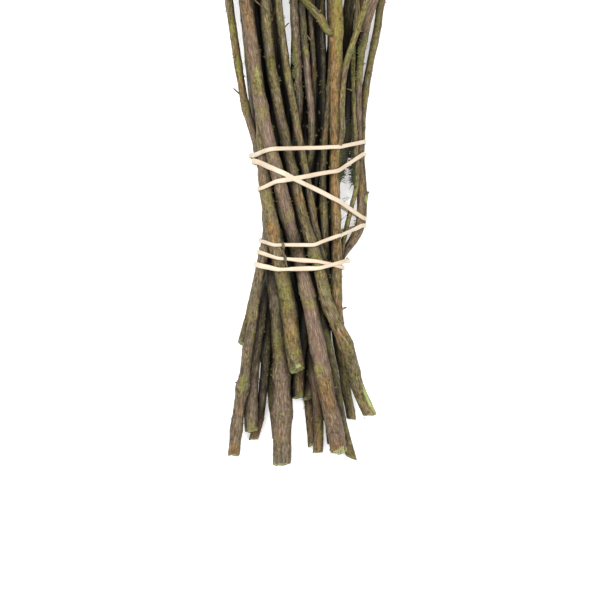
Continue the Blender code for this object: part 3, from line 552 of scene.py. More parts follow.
def shade_from_crowding(line, radii, reach, right, up, sides):
    """How shut in the bark is at each corner by the twigs round it, from 0 to 1, which is painted on its
    colour as shade.
    """
    at = np.arange(0, reach[-1], LOOK_STEP)
    draw = np.random.default_rng(5)
    rays = unit(draw.normal(size=(LOOK_ROUND, 3)))
    seen = np.zeros((len(at), LOOK_SIDES))
    for i, place in enumerate(at):
        k = int(np.searchsorted(reach, place))
        for j in range(LOOK_SIDES):
            out = outward(2 * math.pi * j / LOOK_SIDES, right[k], up[k])
            start = Vector(line[k] + out * (radii[k] + 0.3 * MM))
            for ray in rays + out * 1.05:
                ray = Vector(ray)
                _, facing, _, far = TWIG_SURFACE.ray_cast(start, ray, LOOK_REACH)
                if far is not None:
                    seen[i, j] += 0.45 if facing.dot(ray) > 0 else 1 - 0.6 * far / LOOK_REACH
    seen /= LOOK_ROUND
    seen[1:-1] = (seen[:-2] + 2 * seen[1:-1] + seen[2:]) / 4
    seen = evened(seen, axis=1)
    closed = np.concatenate([seen, seen[:, :1]], axis=1)
    turns = np.linspace(0, LOOK_SIDES, sides, endpoint=False)
    low = turns.astype(int)
    part = turns - low
    around = closed[:, low] * (1 - part) + closed[:, low + 1] * part
    return np.stack([np.interp(reach, at, around[:, s]) for s in range(sides)], axis=1)


# Meshes

class Shape:
    """Corners, faces and surface values of a piece, gathered from several parts."""

    def __init__(self):
        self.points, self.faces, self.finish = [], [], []
        self.values = {"bark_place": [], "bark_patches": [], "bark_growth": []}
        self.count = 0

    def add(self, points, faces, finish=0, place=0.0, patches=0.0, growth=0.0, fans=()):
        """Take in a part with its values, and the triangles that close its ends."""
        self.points.append(points)
        for kind in (faces, fans):
            if len(kind):
                self.faces.extend((np.asarray(kind) + self.count).tolist())
        self.finish.extend([finish] * (len(faces) + len(fans)))
        for parts, given in zip(self.values.values(), (place, patches, growth)):
            parts.append(np.broadcast_to(given, (len(points), 3)))
        self.count += len(points)

    def mesh(self, name):
        mesh = bpy.data.meshes.new(name)
        mesh.from_pydata(np.concatenate(self.points).tolist(), [], self.faces)
        mesh.polygons.foreach_set("material_index", np.array(self.finish, np.int32))
        for key, parts in self.values.items():
            layer = mesh.attributes.new(key, "FLOAT_VECTOR", "POINT")
            layer.data.foreach_set("vector", np.concatenate(parts).astype(np.float32).ravel())
        mesh.validate()
        mesh.update()
        mesh.shade_smooth()
        return mesh


def tube_faces(rings, sides):
    """Four-cornered faces between rings that follow each other."""
    ring = np.arange(rings - 1)[:, None] * sides
    side = np.arange(sides)[None, :]
    after = (side + 1) % sides
    return np.stack([ring + side, ring + after, ring + sides + after, ring + sides + side],
                    axis=2).reshape(-1, 4)


def fan_faces(first, sides, middle):
    """Triangles from the ring that begins with the corner first to one corner in its middle."""
    side = np.arange(sides)
    return np.stack([first + (side + 1) % sides, first + side, side * 0 + middle], 1)


def round_way(sides):
    """Angle of each corner of a ring, with its cosine and sine."""
    angle = np.linspace(0, 2 * math.pi, sides, endpoint=False)
    return angle, np.cos(angle), np.sin(angle)


def link(name, data):
    """A new object in the scene."""
    thing = bpy.data.objects.new(name, data)
    bpy.context.scene.collection.objects.link(thing)
    return thing


def place_piece(mesh, node, materials):
    """Put a mesh in the scene on the bundle's body, in place of the node it stands for, if any."""
    piece = link(mesh.name, mesh)
    for material in materials:
        mesh.materials.append(material)
    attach(piece, "root")
    if node:
        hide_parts(node)


def thin_tube(shape, line, radii, sides, seed, growth=0.0, patches=0.0):
    """A plain round twiglet, spur, hair or strand, closed at both ends."""
    _, right, up = steady_directions(line)
    _, x, y = round_way(sides)
    radii = radii[:, None]
    points = line[:, None] + (x[:, None] * right[:, None] + y[:, None] * up[:, None]) * radii[..., None]
    place = np.stack(np.broadcast_arrays(x * radii / MM, y * radii / MM,
                                         along_line(line)[:, None] / MM), axis=2)
    place = place.reshape(-1, 3) + seed % 97
    n = len(place)
    ends = np.stack([fan_faces(0, sides, n), fan_faces(n - sides, sides, n + 1)[:, [1, 0, 2]]], 1)
    shape.add(np.concatenate([points.reshape(-1, 3), line[:1], line[-1:]]),
              tube_faces(len(line), sides), 0, np.concatenate([place, place[:1], place[-1:]]),
              patches, growth, ends.reshape(-1, 3))


def steady_directions(line):
    """Directions along a line that may run any way, turning as little as possible."""
    along = np.gradient(line, axis=0)
    along /= np.linalg.norm(along, axis=1)[:, None] + 1e-12
    start = UP if abs(along[0, 2]) < 0.9 else np.array([1.0, 0, 0])
    side = np.cross(along[0], start)
    right = np.zeros_like(line)
    for k in range(len(line)):
        side = side - along[k] * (side @ along[k])
        side /= np.linalg.norm(side) + 1e-12
        right[k] = side
    return along, right, np.cross(right, along)


# Materials

def feed(tree, node, values):
    """Set or join a node's inputs, by name or number."""
    for key, value in values.items():
        if isinstance(value, bpy.types.NodeSocket):
            tree.links.new(value, node.inputs[key])
        else:
            node.inputs[key].default_value = value


def put(tree, kind, values=(), **settings):
    """Add a node with its settings and its inputs."""
    node = tree.nodes.new("ShaderNode" + kind)
    for key, value in settings.items():
        setattr(node, key, value)
    feed(tree, node, dict(values))
    return node


def maths(tree, operation, a, b, c=0.0):
    return put(tree, "Math", {0: a, 1: b, 2: c}, operation=operation).outputs[0]


def times(tree, a, b):
    return maths(tree, "MULTIPLY", a, b)


def between(tree, value, low, high, most=1.0):
    """0 where a value is below low, and most where it is above high."""
    return put(tree, "MapRange", {"Value": value, "From Min": low, "From Max": high, "To Max": most},
               interpolation_type="SMOOTHSTEP").outputs["Result"]


def spread_over(tree, value, low, high, start=0.0, end=1.0):
    """A value that runs evenly from low to high, while the given one runs from start to end."""
    return put(tree, "MapRange", {"Value": value, "From Min": start, "From Max": end,
                                  "To Min": low, "To Max": high}).outputs["Result"]


def mixed(tree, share, first, second, blend="MIX"):
    node = put(tree, "Mix", {0: share, 6: first, 7: second}, data_type="RGBA", blend_type=blend)
    return node.outputs[2]


def stretched(tree, vector, scale):
    return put(tree, "Mapping", {"Vector": vector, "Scale": scale}).outputs["Vector"]


def grain_noise(tree, vector, scale, detail=4.0, roughness=0.55):
    return put(tree, "TexNoise", {"Vector": vector, "Scale": scale, "Detail": detail,
                                  "Roughness": roughness}).outputs["Fac"]


def from_mesh(tree, attribute):
    """What a piece's mesh holds under this name."""
    return put(tree, "Attribute", attribute_name=attribute,
               attribute_type="GEOMETRY").outputs["Vector"]


def split(tree, vector):
    return put(tree, "SeparateXYZ", {"Vector": vector}).outputs[:]


def relief(tree, height, strength, depth):
    """The direction a surface faces, with a relief of this depth in mm."""
    return put(tree, "Bump", {"Height": height, "Strength": strength,
                              "Distance": depth * MM}).outputs["Normal"]


def new_group(name, inputs, outputs):
    tree = bpy.data.node_groups.new(name, "ShaderNodeTree")
    for label, kind, default in inputs:
        socket = tree.interface.new_socket(label, in_out="INPUT", socket_type="NodeSocket" + kind)
        socket.default_value = default
    for label, kind in outputs:
        tree.interface.new_socket(label, in_out="OUTPUT", socket_type="NodeSocket" + kind)
    return tree, tree.nodes.new("NodeGroupInput").outputs, tree.nodes.new("NodeGroupOutput").inputs


def solid(colour):
    return (*colour, 1.0)


def bark_group():
    """Bark colour, roughness and fine relief, with patches, lichen and painted shade where the mesh says.
    """
    name = "Bark"
    if name in bpy.data.node_groups:
        return bpy.data.node_groups[name]
    own = colours()
    layers = ("Violet", "Warm", "Lichen", "Crust", "Fresh", "Crack", "Pale")
    inputs = [(layer, "Color", solid(getattr(own, layer.lower()))) for layer in layers]
    inputs += [("Bark", "Color", solid(own.olive)), ("Speckle", "Float", 0.5)]
    tree, given, result = new_group(
        name, inputs, [("Colour", "Color"), ("Roughness", "Float"), ("Height", "Float")])
    place = from_mesh(tree, "bark_place")
    warm, violet, shade = split(tree, from_mesh(tree, "bark_patches"))
    lichen, fresh, crack = split(tree, from_mesh(tree, "bark_growth"))

    broad = grain_noise(tree, place, 0.16, 3)
    mottle = grain_noise(tree, stretched(tree, place, (1, 1, 0.55)), 0.9, 5, 0.65)
    fibre = grain_noise(tree, stretched(tree, place, (3.2, 3.2, 0.22)), 1.0, 5, 0.6)
    grit = grain_noise(tree, place, 4.2, 4, 0.7)
    hue = grain_noise(tree, stretched(tree, place, (1, 1, 0.6)), 0.33, 3)
    pits = grain_noise(tree, place, 1.9, 3, 0.6)
    spread = grain_noise(tree, place, 0.75, 6, 0.72)

    dark_bark = mixed(tree, 1.0, given["Bark"], (0.36, 0.34, 0.30, 1), "MULTIPLY")
    pale_bark = mixed(tree, 1.0, given["Bark"], (1.62, 1.60, 1.62, 1), "MULTIPLY")
    colour = mixed(tree, between(tree, mottle, 0.33, 0.70), dark_bark, pale_bark)
    grey = mixed(tree, 0.45, colour, (0.150, 0.135, 0.100, 1))
    colour = mixed(tree, between(tree, broad, 0.44, 0.64), colour, grey)
    for share, layer in (
            (between(tree, hue, 0.46, 0.34, 0.5), "Violet"),
            (between(tree, hue, 0.56, 0.70, 0.5), "Lichen"),
            (between(tree, pits, 0.42, 0.30, 0.7), "Crack"),
            (times(tree, warm, between(tree, mottle, 0.30, 0.55)), "Warm"),
            (times(tree, violet, between(tree, mottle, 0.25, 0.50)), "Violet"),
            (between(tree, fibre, 0.54, 0.38, 0.52), "Crack"),
            (between(tree, fibre, 0.54, 0.68, 0.70), "Pale"),
            (times(tree, crack, 0.75), "Crack")):
        colour = mixed(tree, share, colour, given[layer])

    cells = put(tree, "TexVoronoi", {"Vector": stretched(tree, place, (1, 1, 0.7)), "Scale": 0.85,
                                     "Randomness": 1.0}).outputs
    chosen = between(tree, split(tree, cells["Color"])[0], 0.55, 0.60)
    speck = times(tree, times(tree, between(tree, cells["Distance"], 0.30, 0.16), chosen),
                  given["Speckle"])
    crust = between(tree, maths(tree, "MULTIPLY_ADD", lichen, 0.34, spread), 0.66, 0.82)
    pale_lichen = mixed(tree, between(tree, grit, 0.42, 0.66), given["Lichen"], given["Crust"])
    colour = mixed(tree, speck, colour, pale_lichen)
    colour = mixed(tree, times(tree, crust, 0.62), colour, pale_lichen)
    frayed = times(tree, fresh, between(tree, fibre, 0.34, 0.52))
    colour = mixed(tree, frayed, colour, given["Fresh"])
    # Painted shade: the colour is darkened where the mesh says the twigs round it shut the bark in, with a
    # mottle of grit on top.
    lit_share = spread_over(tree, shade, 1.0, 0.03, 0.16, 0.66)
    shadow = times(tree, maths(tree, "MULTIPLY_ADD", grit, 0.55, 0.72), lit_share)
    tree.links.new(mixed(tree, 1.0, colour, shadow, "MULTIPLY"), result["Colour"])

    smooth = times(tree, violet, 0.14)
    tree.links.new(maths(tree, "SUBTRACT", spread_over(tree, crust, 0.66, 0.92), smooth),
                   result["Roughness"])
    height = maths(tree, "MULTIPLY_ADD", grit, 0.6, times(tree, fibre, 0.9))
    height = maths(tree, "MULTIPLY_ADD", speck, 0.5, height)
    tree.links.new(maths(tree, "ADD", height, crust), result["Height"])
    return tree


def new_material(name):
    material = bpy.data.materials.new(name)
    material.use_nodes = True
    tree = material.node_tree
    tree.nodes.clear()
    shader = tree.nodes.new("ShaderNodeBsdfPrincipled")
    output = tree.nodes.new("ShaderNodeOutputMaterial")
    tree.links.new(shader.outputs["BSDF"], output.inputs["Surface"])
    return material, tree, shader


def bark_material(slot):
    if slot in bpy.data.materials and bpy.data.materials[slot].get("dressed"):
        return bpy.data.materials[slot]
    tone = slot.removeprefix("bark_")
    material, tree, shader = new_material(slot)
    material["dressed"] = True
    bark = put(tree, "Group", node_tree=bark_group())
    feed(tree, bark, {"Bark": solid(getattr(colours(), tone)),
                      "Speckle": {"dark": 0.3, "purple": 0.45}.get(tone, 0.6)})
    feed(tree, shader, {"Base Color": bark.outputs["Colour"], "Specular IOR Level": 0.25,
                        "Roughness": bark.outputs["Roughness"],
                        "Normal": relief(tree, bark.outputs["Height"], 0.7, 0.22)})
    return material


def cut_material():
    """Freshly cut wood: pith in the middle, rays and rings, green cambium under the bark."""
    name = "cut_wood"
    if name in bpy.data.materials:
        return bpy.data.materials[name]
    own = colours()
    material, tree, shader = new_material(name)
    out, turn, tint = split(tree, from_mesh(tree, "bark_patches"))
    place = from_mesh(tree, "bark_place")
    grit = grain_noise(tree, place, 2.2, 5, 0.65)
    torn = grain_noise(tree, place, 0.55, 4, 0.6)
    rays = grain_noise(tree, put(tree, "CombineXYZ", {"X": turn, "Y": tint}).outputs["Vector"], 9.0, 3)
    ragged = maths(tree, "MULTIPLY_ADD", maths(tree, "SUBTRACT", grit, 0.5), 0.16, out)
    wood = mixed(tree, between(tree, rays, 0.35, 0.65), solid(own.wood), solid(rgb(142, 126, 82)))
    green = mixed(tree, tint, wood, solid(own.fresh))
    colour = mixed(tree, between(tree, ragged, 0.12, 0.24), solid(own.pith), green)
    for share, layer in (
            (between(tree, ragged, 0.84, 0.90), own.fresh), (between(tree, ragged, 0.93, 0.98), own.crack),
            (between(tree, grit, 0.55, 0.25), rgb(130, 112, 66)),
            (between(tree, torn, 0.53, 0.43, 0.8), rgb(84, 68, 42))):
        colour = mixed(tree, share, colour, solid(layer))
    feed(tree, shader, {"Base Color": colour, "Roughness": 0.8,
                        "Normal": relief(tree, maths(tree, "ADD", grit, rays), 0.5, 0.15)})
    return material


def tuft_material(name, colour, tip):
    material, tree, shader = new_material(name)
    mottle = grain_noise(tree, from_mesh(tree, "bark_place"), 0.8, 4)
    feed(tree, shader, {
        "Base Color": mixed(tree, between(tree, mottle, 0.35, 0.65), solid(colour), solid(tip)),
        "Roughness": 0.9, "Normal": relief(tree, mottle, 0.4, 0.1)})
    return material


def rubber_material():
    name = "stretched_rubber"
    if name in bpy.data.materials:
        return bpy.data.materials[name]
    material, tree, shader = new_material(name)
    where = put(tree, "TexCoord").outputs["Object"]
    clouds = grain_noise(tree, where, 90.0, 4)
    dust = grain_noise(tree, where, 900.0, 4, 0.7)
    colour = mixed(tree, between(tree, clouds, 0.35, 0.7), solid(colours().rubber),
                   solid(rgb(198, 178, 154)))
    colour = mixed(tree, between(tree, dust, 0.60, 0.72, 0.35), colour, solid(rgb(170, 146, 110)))
    feed(tree, shader, {"Base Color": colour, "Roughness": spread_over(tree, dust, 0.42, 0.62),
                        "Normal": relief(tree, dust, 0.25, 0.05)})
    return material


# Twigs

def mark_mask(marks, kind, width, y, angle, rough):
    """How strongly marks of one kind, which reach this far round, cover each corner of a twig."""
    total = np.zeros_like(y)
    for mark in marks:
        if mark.kind == kind:
            turn = wrapped(angle - math.acos(mark.side))
            reach = np.exp(-((y - mark.y) / mark.length) ** 2 - (turn / width) ** 2)
            total = np.maximum(total, ease(reach + 0.35 * rough, 0.28, 0.62) * mark.strength)
    return total


def swellings(marks, reach, y, radii, draw, spacing):
    """How much wider a twig is at each ring, where old shoots and buds made it swell."""
    swell = np.zeros_like(reach)
    places = []
    at = draw.uniform(0.3, 0.9) * spacing
    while at < reach[-1] - 4 * MM:
        places.append((at, draw.uniform(0.05, 0.13)))
        at += draw.uniform(0.6, 1.4) * spacing * (0.6 + 0.4 * (1 - at / reach[-1]))
    for mark in marks:
        if mark.kind in ("node", "knot"):
            places.append((float(reach[nearest(y, mark.y)]), 0.14 * mark.strength))
    for at, height in places:
        local = float(np.interp(at, reach, radii))
        gap = (reach - at) / local
        swell = swell + height * (np.exp(-(gap / 0.9) ** 2) + 0.45 * np.exp(-(gap / 2.2) ** 2)
                                  - 0.5 * np.exp(-((gap - 0.25) / 0.22) ** 2))
    return swell, places


def knobs(reach, radii, angle, draw):
    """Small warts and bud scars scattered over the bark: how far they stand out, in metres."""
    height = np.zeros((len(reach), angle.shape[1]))
    step = float(reach[1] - reach[0])
    for _ in range(int(reach[-1] / (4.5 * MM))):
        at, turn = draw.uniform(0, reach[-1]), draw.uniform(-math.pi, math.pi)
        size = draw.uniform(0.35, 0.8) * MM
        rise = draw.uniform(0.12, 0.34) * MM
        low = max(0, int((at - 4 * size) / step))
        high = int((at + 4 * size) / step) + 2
        local = float(np.interp(at, reach, radii))
        across = wrapped(angle - turn) * local
        gap = ((reach[low:high, None] - at) / (1.5 * size)) ** 2 + (across / size) ** 2
        height[low:high] += rise * min(1.0, local / (1.8 * MM)) * np.exp(-gap)
    return height


def bark_tube(shape, name, line, radii, reach, sides, draw, flare=0.0, facing=None):
    """The bark of one twig, with its ridges, flakes, nodes and crusts.

    Gives the line and radii that the twig has in the end, its nodes and its rings of corners.
    """
    own = sizes()
    seed = number_of(name)
    marks = MARKS.get(name, ())
    along, right, up = directions(line)
    sway = np.stack([noise(np.stack([reach / (14 * MM), reach * 0 + seed % shift, reach * 0 + far], 1),
                           seed) for shift, far in ((89, 0), (83, 5))], 1)
    sway *= np.clip(reach / (10 * MM), 0, 1)[:, None] * 0.22 * MM
    line = line + right * sway[:, :1] + up * sway[:, 1:]
    y = heights(line)
    swell, places = swellings(marks, reach, y, radii, draw, own.node_spacing)
    wide = radii * (1 + swell) * (1 + flare * np.exp(-reach / (2.2 * radii[0])))
    tip = np.clip((reach[-1] - reach) / (2.4 * radii[-1]), 0, 1)
    wide = wide * np.sqrt(np.clip(1 - (1 - tip) ** 2, 0.02, 1))
    if facing is not None:
        wide[0] *= 0.95

    angle, round_x, round_y = (row[None] for row in round_way(sides))
    thick = radii[:, None]
    spread = np.stack([thick * round_x / MM, thick * round_y / MM,
                       np.repeat(reach[:, None] / MM, sides, 1)], axis=2) + seed % 97
    every_y = np.repeat(y[:, None], sides, 1)
    ridge = layered(spread * np.array([1.5, 1.5, 0.13]), seed + 1)
    fold = 1 - np.abs(noise(spread * np.array([1.1, 1.1, 0.16]), seed + 2)) * 2
    flake = layered(spread * np.array([1.3, 1.3, 0.9]), seed + 3)
    patch = noise(spread * 0.13, seed + 4)
    rough = layered(spread * 0.8, seed + 5)
    ring = ease(noise(spread * np.array([0.05, 0.05, 1.6]), seed + 6), 0.45, 0.8)

    lichen, fresh, warm, violet = (mark_mask(marks, kind, width, every_y, angle, rough)
                                   for kind, width in MARK_WIDTHS.items())
    lichen = np.maximum(0.22 + 0.45 * ease(patch + 0.55 * rough, 0.0, 0.7), lichen)
    warm = np.maximum(warm, ease(noise(spread * 0.1, seed + 7) + 0.3 * rough, 0.35, 0.7) * 0.6)
    violet = np.maximum(violet, ease(noise(spread * 0.09, seed + 8) + 0.3 * rough, 0.4, 0.75) * 0.5)
    crack = ease(fold, 0.72, 0.98) * (1 - violet * 0.7) * 0.8
    crack = np.maximum(crack, ease(-swell[:, None] * 14, 0.3, 1.0) * 0.7)

    oval = 1 + 0.035 * np.cos(2 * angle + noise(spread[:, :1] * 0.04, seed + 9) * 3)
    stout = np.clip(thick / (2 * MM), 0.3, 1)
    warts = knobs(reach, radii, angle, draw)
    far = wide[:, None] * (oval + own.ridge_depth * (ridge - 0.7 * ease(fold, 0.8, 1.0)))
    far = far + (own.flake_depth * flake + own.crust_height * lichen * (0.5 + 0.5 * rough)) * stout
    far = far - 0.25 * MM * ease(fresh, 0.4, 0.9) + 0.05 * MM * ring + warts
    lichen = np.clip(lichen + warts / (0.5 * MM), 0, 1)
    for mark in marks:
        if mark.kind == "knot":
            turn = wrapped(angle - math.acos(mark.side))
            gap = np.hypot((every_y - mark.y) * MM / KNOT_SIZE[1], turn * wide[:, None] / KNOT_SIZE[0])
            rim = np.exp(-((gap - 1) / 0.32) ** 2)
            far = far + 0.25 * MM * rim
            lichen = np.maximum(lichen, rim)
            crack = np.maximum(crack, np.exp(-((gap - 0.35) / 0.25) ** 2))
    out = round_x[..., None] * right[:, None] + round_y[..., None] * up[:, None]
    points = line[:, None] + out * far[..., None]
    if facing is not None:
        face = np.array([facing[1], -1.0, facing[0]])
        slide = -((points[0] - line[0]) @ face) / (along[0] @ face)
        slide = slide + noise(np.stack([round_x[0] * 3, round_y[0] * 3, angle[0] * 0], 1),
                              seed) * 0.14 * radii[0]
        fade = np.clip(1 - reach / (4.0 * radii[0]), 0, 1)[:, None]
        points = points + along[:, None] * (slide[None] * fade)[..., None]
        fresh = np.maximum(fresh, 0.6 * ease(fade, 0.88, 1.0) * (rough > 0.15))
    # Painted shade: how shut in each corner is, kept with the patches so that the shader darkens the bark
    # there.
    sunk = shade_from_crowding(line, wide, reach, right, up, sides)
    shape.add(points.reshape(-1, 3), tube_faces(len(line), sides), 0, spread.reshape(-1, 3),
              np.stack([warm, violet, sunk], 2).reshape(-1, 3),
              np.stack([lichen, fresh, crack], 2).reshape(-1, 3))
    return line, wide, places, points


def close_end(shape, rim, inward, finish, seed, depth=0.0, tint=0.0):
    """A cap of rings from a tube's rim to its middle, hollowed or raised a little."""
    sides = len(rim)
    middle = rim.mean(0)
    angle, x, y = round_way(sides)
    points, patches = [], []
    for share in CAP_RINGS:
        wave = noise(np.stack([x * share * 4, y * share * 4, angle * 0 + seed % 31], 1), seed)
        sunk = depth * (1 - share) + 0.10 * MM * wave * (share < 0.97)
        points.append(middle + (rim - middle) * share + inward * sunk[:, None])
        patches.append(np.stack([angle * 0 + share, angle, angle * 0 + tint], 1))
    points.append(middle[None] + inward * depth)
    patches.append(np.array([[0, 0, tint]]))
    every = np.concatenate(points)
    fans = fan_faces((len(CAP_RINGS) - 1) * sides, sides, len(every) - 1)
    shape.add(every, tube_faces(len(CAP_RINGS), sides)[:, ::-1], finish, every / MM + seed % 97,
              np.concatenate(patches), 0.0, fans)


def curved_strand(start, heading, length, draw, bend, count):
    """Points along a strand that starts one way and curls as it grows."""
    heading = unit(heading)
    curl = draw.normal(size=3) * bend
    points = [start]
    for _ in range(count - 1):
        heading = unit(heading + curl / count + draw.normal(size=3) * bend * 0.25 / count)
        points.append(points[-1] + heading * length / (count - 1))
    return np.array(points)


def keep_inside(points):
    """Bend a twiglet back where it would leave the bundle's box or go under it."""
    low = np.array(CAD_BOX[0]) + np.array([-BOX_MARGIN, -BOX_MARGIN, FLOOR_AIR])
    return np.clip(points, low, np.array(CAD_BOX[1]) + BOX_MARGIN)


def grow_twiglet(shape, start, heading, length, radius, draw, seed, finer=True):
    """A thin side shoot with small buds, and sometimes a shoot of its own."""
    line = keep_inside(curved_strand(start, heading, length, draw, 0.55, max(8, int(length / (1.6 * MM)))))
    share = np.linspace(0, 1, len(line))
    radii = radius * (1 - 0.62 * share) * (1 + 0.10 * np.sin(share * length / (2.1 * MM) + seed))
    radii[0] *= 1.5
    radii[-2:] *= (1.15, 0.45)
    thin_tube(shape, line, radii, 6, seed, (0.3 * draw.random(), 0, 0),
              (0.3 * draw.random(), 0.4 * draw.random(), 0))
    along = unit(np.gradient(line, axis=0))
    for k in range(3, len(line) - 2, 4):
        grow_bud(shape, line[k], along[k], radii[k], draw, seed + k)
    if finer and length > 16 * MM:
        for at in (0.35, 0.6):
            k = int(at * len(line))
            side = unit(np.cross(along[k], draw.normal(size=3)))
            grow_twiglet(shape, line[k], along[k] + 0.8 * side, length * draw.uniform(0.25, 0.45),
                         radii[k] * 0.75, draw, seed + 3, False)


def grow_shoots(shape, line, wide, reach, at, kind, draw, seed):
    """The side shoots of a twig or branch, from one place on up to its bare tip."""
    along, right, up = directions(line)
    while at < reach[-1] - kind.bare_tip:
        k = nearest(reach, at)
        side = outward(draw.uniform(0, 2 * math.pi), right[k], up[k])
        length = sizes().twiglet_length * draw.uniform(*kind.lengths)
        if heights(line)[k] < NECK_Y:
            length *= kind.shown
        grow_twiglet(shape, line[k], along[k] + kind.lean * side, length,
                     min(kind.radius, wide[k] * 0.55), draw, seed + k)
        at += draw.uniform(*kind.gaps) * MM


def grow_bud(shape, start, along, radius, draw, seed):
    """A small pointed bud that lies close to its shoot."""
    along = unit(along)
    side = unit(np.cross(along, draw.normal(size=3)))
    length = (0.7 * MM + radius * 0.45) * draw.uniform(0.8, 1.2)
    share = np.array([0, 0.25, 0.55, 0.8, 1.0])
    line = start + side * radius * 0.78 + np.outer(share * length, along * 0.9 + side * 0.42)
    radii = np.array([0.8, 1.0, 0.8, 0.45, 0.1]) * (0.18 * MM + radius * 0.14)
    thin_tube(shape, line, radii, 6, seed, (0.3, 0, 0.1), (0.3, 0.2, 0))


def add_spurs(shape, node, line, wide, draw):
    """The short dead stubs of this twig, each narrowing to a closed end."""
    along, right, up = directions(line)
    for spur in SPURS:
        if spur.twig == node:
            k = nearest(heights(line), spur.y)
            side = outward(math.acos(spur.side), right[k], up[k])
            track = curved_strand(line[k] + side * wide[k] * 0.6, side + 0.6 * along[k],
                                  spur.length * MM + wide[k] * 0.4, draw, 0.4, 9)
            radii = spur.radius * MM * np.array([1.9, 1.5, 1.15, 1.0, 0.95, 0.9, 0.95, 0.8, 0.5])
            thin_tube(shape, track, radii, 7, k, (0.5, 0, 0.1), (0.2, 0.1, 0))


def fuller(radii, height, share, low, high):
    """The radii of a twig, made larger from one height to another."""
    return radii * (1 + share * ease(-height, -high[1], -high[0]) * ease(height, *low))


def dress_twig(node, step, sides):
    """One main twig: its bark, both its ends, its buds and its side shoots."""
    seed = number_of(node)
    draw = np.random.default_rng(seed)
    middles, radii = rings_of(node)
    height = heights(middles)
    if node in BACK_NODES:
        radii = fuller(radii, height, *BACK_FILL)
    if node == "beside_long_twig":
        radii = fuller(radii, height, *SLIT_FILL)
    line, radii, reach = smooth_line(middles, radii, step)
    shape = Shape()
    line, wide, places, points = bark_tube(shape, node, line, radii, reach, sides, draw,
                                           facing=CUT_FACING.get(node, PLAIN_FACING))
    LINES[node] = (line, wide)
    along, _, _ = directions(line)
    close_end(shape, points[0], along[0], 1, seed, 0.1 * radii[0], BRIGHT_CUTS.get(node, DULL_CUT))
    close_end(shape, points[-1][::-1], -along[-1], 0, seed)
    for at, _ in places:
        k = nearest(reach, at)
        if 4 < k < len(line) - 4 and draw.random() < BUD_CHANCE:
            grow_bud(shape, line[k], along[k], wide[k], draw, seed + k)
    add_spurs(shape, node, line, wide, draw)
    start = float(reach[nearest(heights(line), LOWEST_SHOOT)]) + draw.uniform(0, 20) * MM
    grow_shoots(shape, line, wide, reach, start, TWIG_SHOOTS, draw, seed)
    place_piece(shape.mesh(node + "_bark"), node,
                [bark_material(SLOTS[node]), cut_material()])


def parent_of(node):
    """The twig that a branch grows from: the one whose line comes nearest to its foot."""
    foot = rings_of(node)[0][0]
    stem = node.rsplit("_branch", 1)[0]
    twigs = [n for n in LINES if n in TWIG_NODES]
    tries = [n for n in twigs if stem.startswith(n)] or [n for n in twigs if n[:6] == stem[:6]]
    return min(tries, key=lambda n: float(np.linalg.norm(LINES[n][0] - foot, axis=1).min()))


def dress_branch(node, step, sides):
    """A main branch, led back into its parent twig so that the fork has no gap."""
    seed = number_of(node)
    draw = np.random.default_rng(seed)
    middles, radii = rings_of(node)
    parent, _ = LINES[parent_of(node)]
    near = int(np.linalg.norm(parent - middles[0], axis=1).argmin())
    gap = float(np.linalg.norm(parent[near] - middles[0]))
    spacing = float(np.linalg.norm(parent[1] - parent[0]))
    lean = STUB_LEAN if node == "orange_twig_left_branch" else BRANCH_LEAN
    root = parent[max(0, near - int(lean * gap / spacing))]
    middles = np.concatenate([[root], middles])
    radii = np.concatenate([[radii[0]], radii])
    line, radii, reach = smooth_line(middles, radii, step)
    shape = Shape()
    line, wide, _, points = bark_tube(shape, node, line, radii, reach, sides, draw, flare=0.25)
    LINES[node] = (line, wide)
    along, _, _ = directions(line)
    add_spurs(shape, node, line, wide, draw)
    close_end(shape, points[0], along[0], 0, seed)
    close_end(shape, points[-1][::-1], -along[-1], 0, seed)
    grow_shoots(shape, line, wide, reach, reach[-1] * 0.2, BRANCH_SHOOTS, draw, seed)
    place_piece(shape.mesh(node + "_bark"), node, [bark_material(SLOTS[node])])


# Growth and loose pieces

def place_on(node, y, side):
    """A point on a twig's bark at a height and side, and the direction straight out of it."""
    line, wide = LINES[node]
    k = nearest(heights(line), y)
    _, right, up = directions(line)
    out = outward(math.acos(side), right[k], up[k])
    return line[k] + out * wide[k], out


def grow_tufts(name, material):
    """All tufts of one kind: curled strands that spring from one patch of bark."""
    own = sizes()
    shape = Shape()
    draw = np.random.default_rng(number_of(name))
    moss = name == "moss_tufts"
    for tuft in TUFTS[name]:
        for _ in range(tuft.strands):
            y = tuft.y + draw.normal() * tuft.reach * 0.6
            side = float(np.clip(tuft.side + draw.normal() * 0.18, -0.99, 0.99))
            start, out = place_on(tuft.twig, y, side)
            heading = out + draw.normal(size=3) * 0.6
            length = own.strand_length * draw.uniform(0.35, 1.0) * (MOSS_LENGTH if moss else 1)
            track = keep_inside(curved_strand(start - out * 0.2 * MM, heading, length, draw, 1.6, 6))
            if moss:
                droop = start[2] - 0.9 * np.abs(track[:, 0] - start[0])
                track[:, 2] = np.clip(np.minimum(track[:, 2], droop), FLOOR_AIR, None)
            radii = draw.uniform(0.09, 0.17) * MM * np.array([1.0, 1.0, 0.9, 0.8, 0.6, 0.3])
            radii = radii * (MOSS_WIDTH if moss else 1)
            thin_tube(shape, track, radii, 3, int(draw.integers(90)))
    place_piece(shape.mesh(name), None, [material])


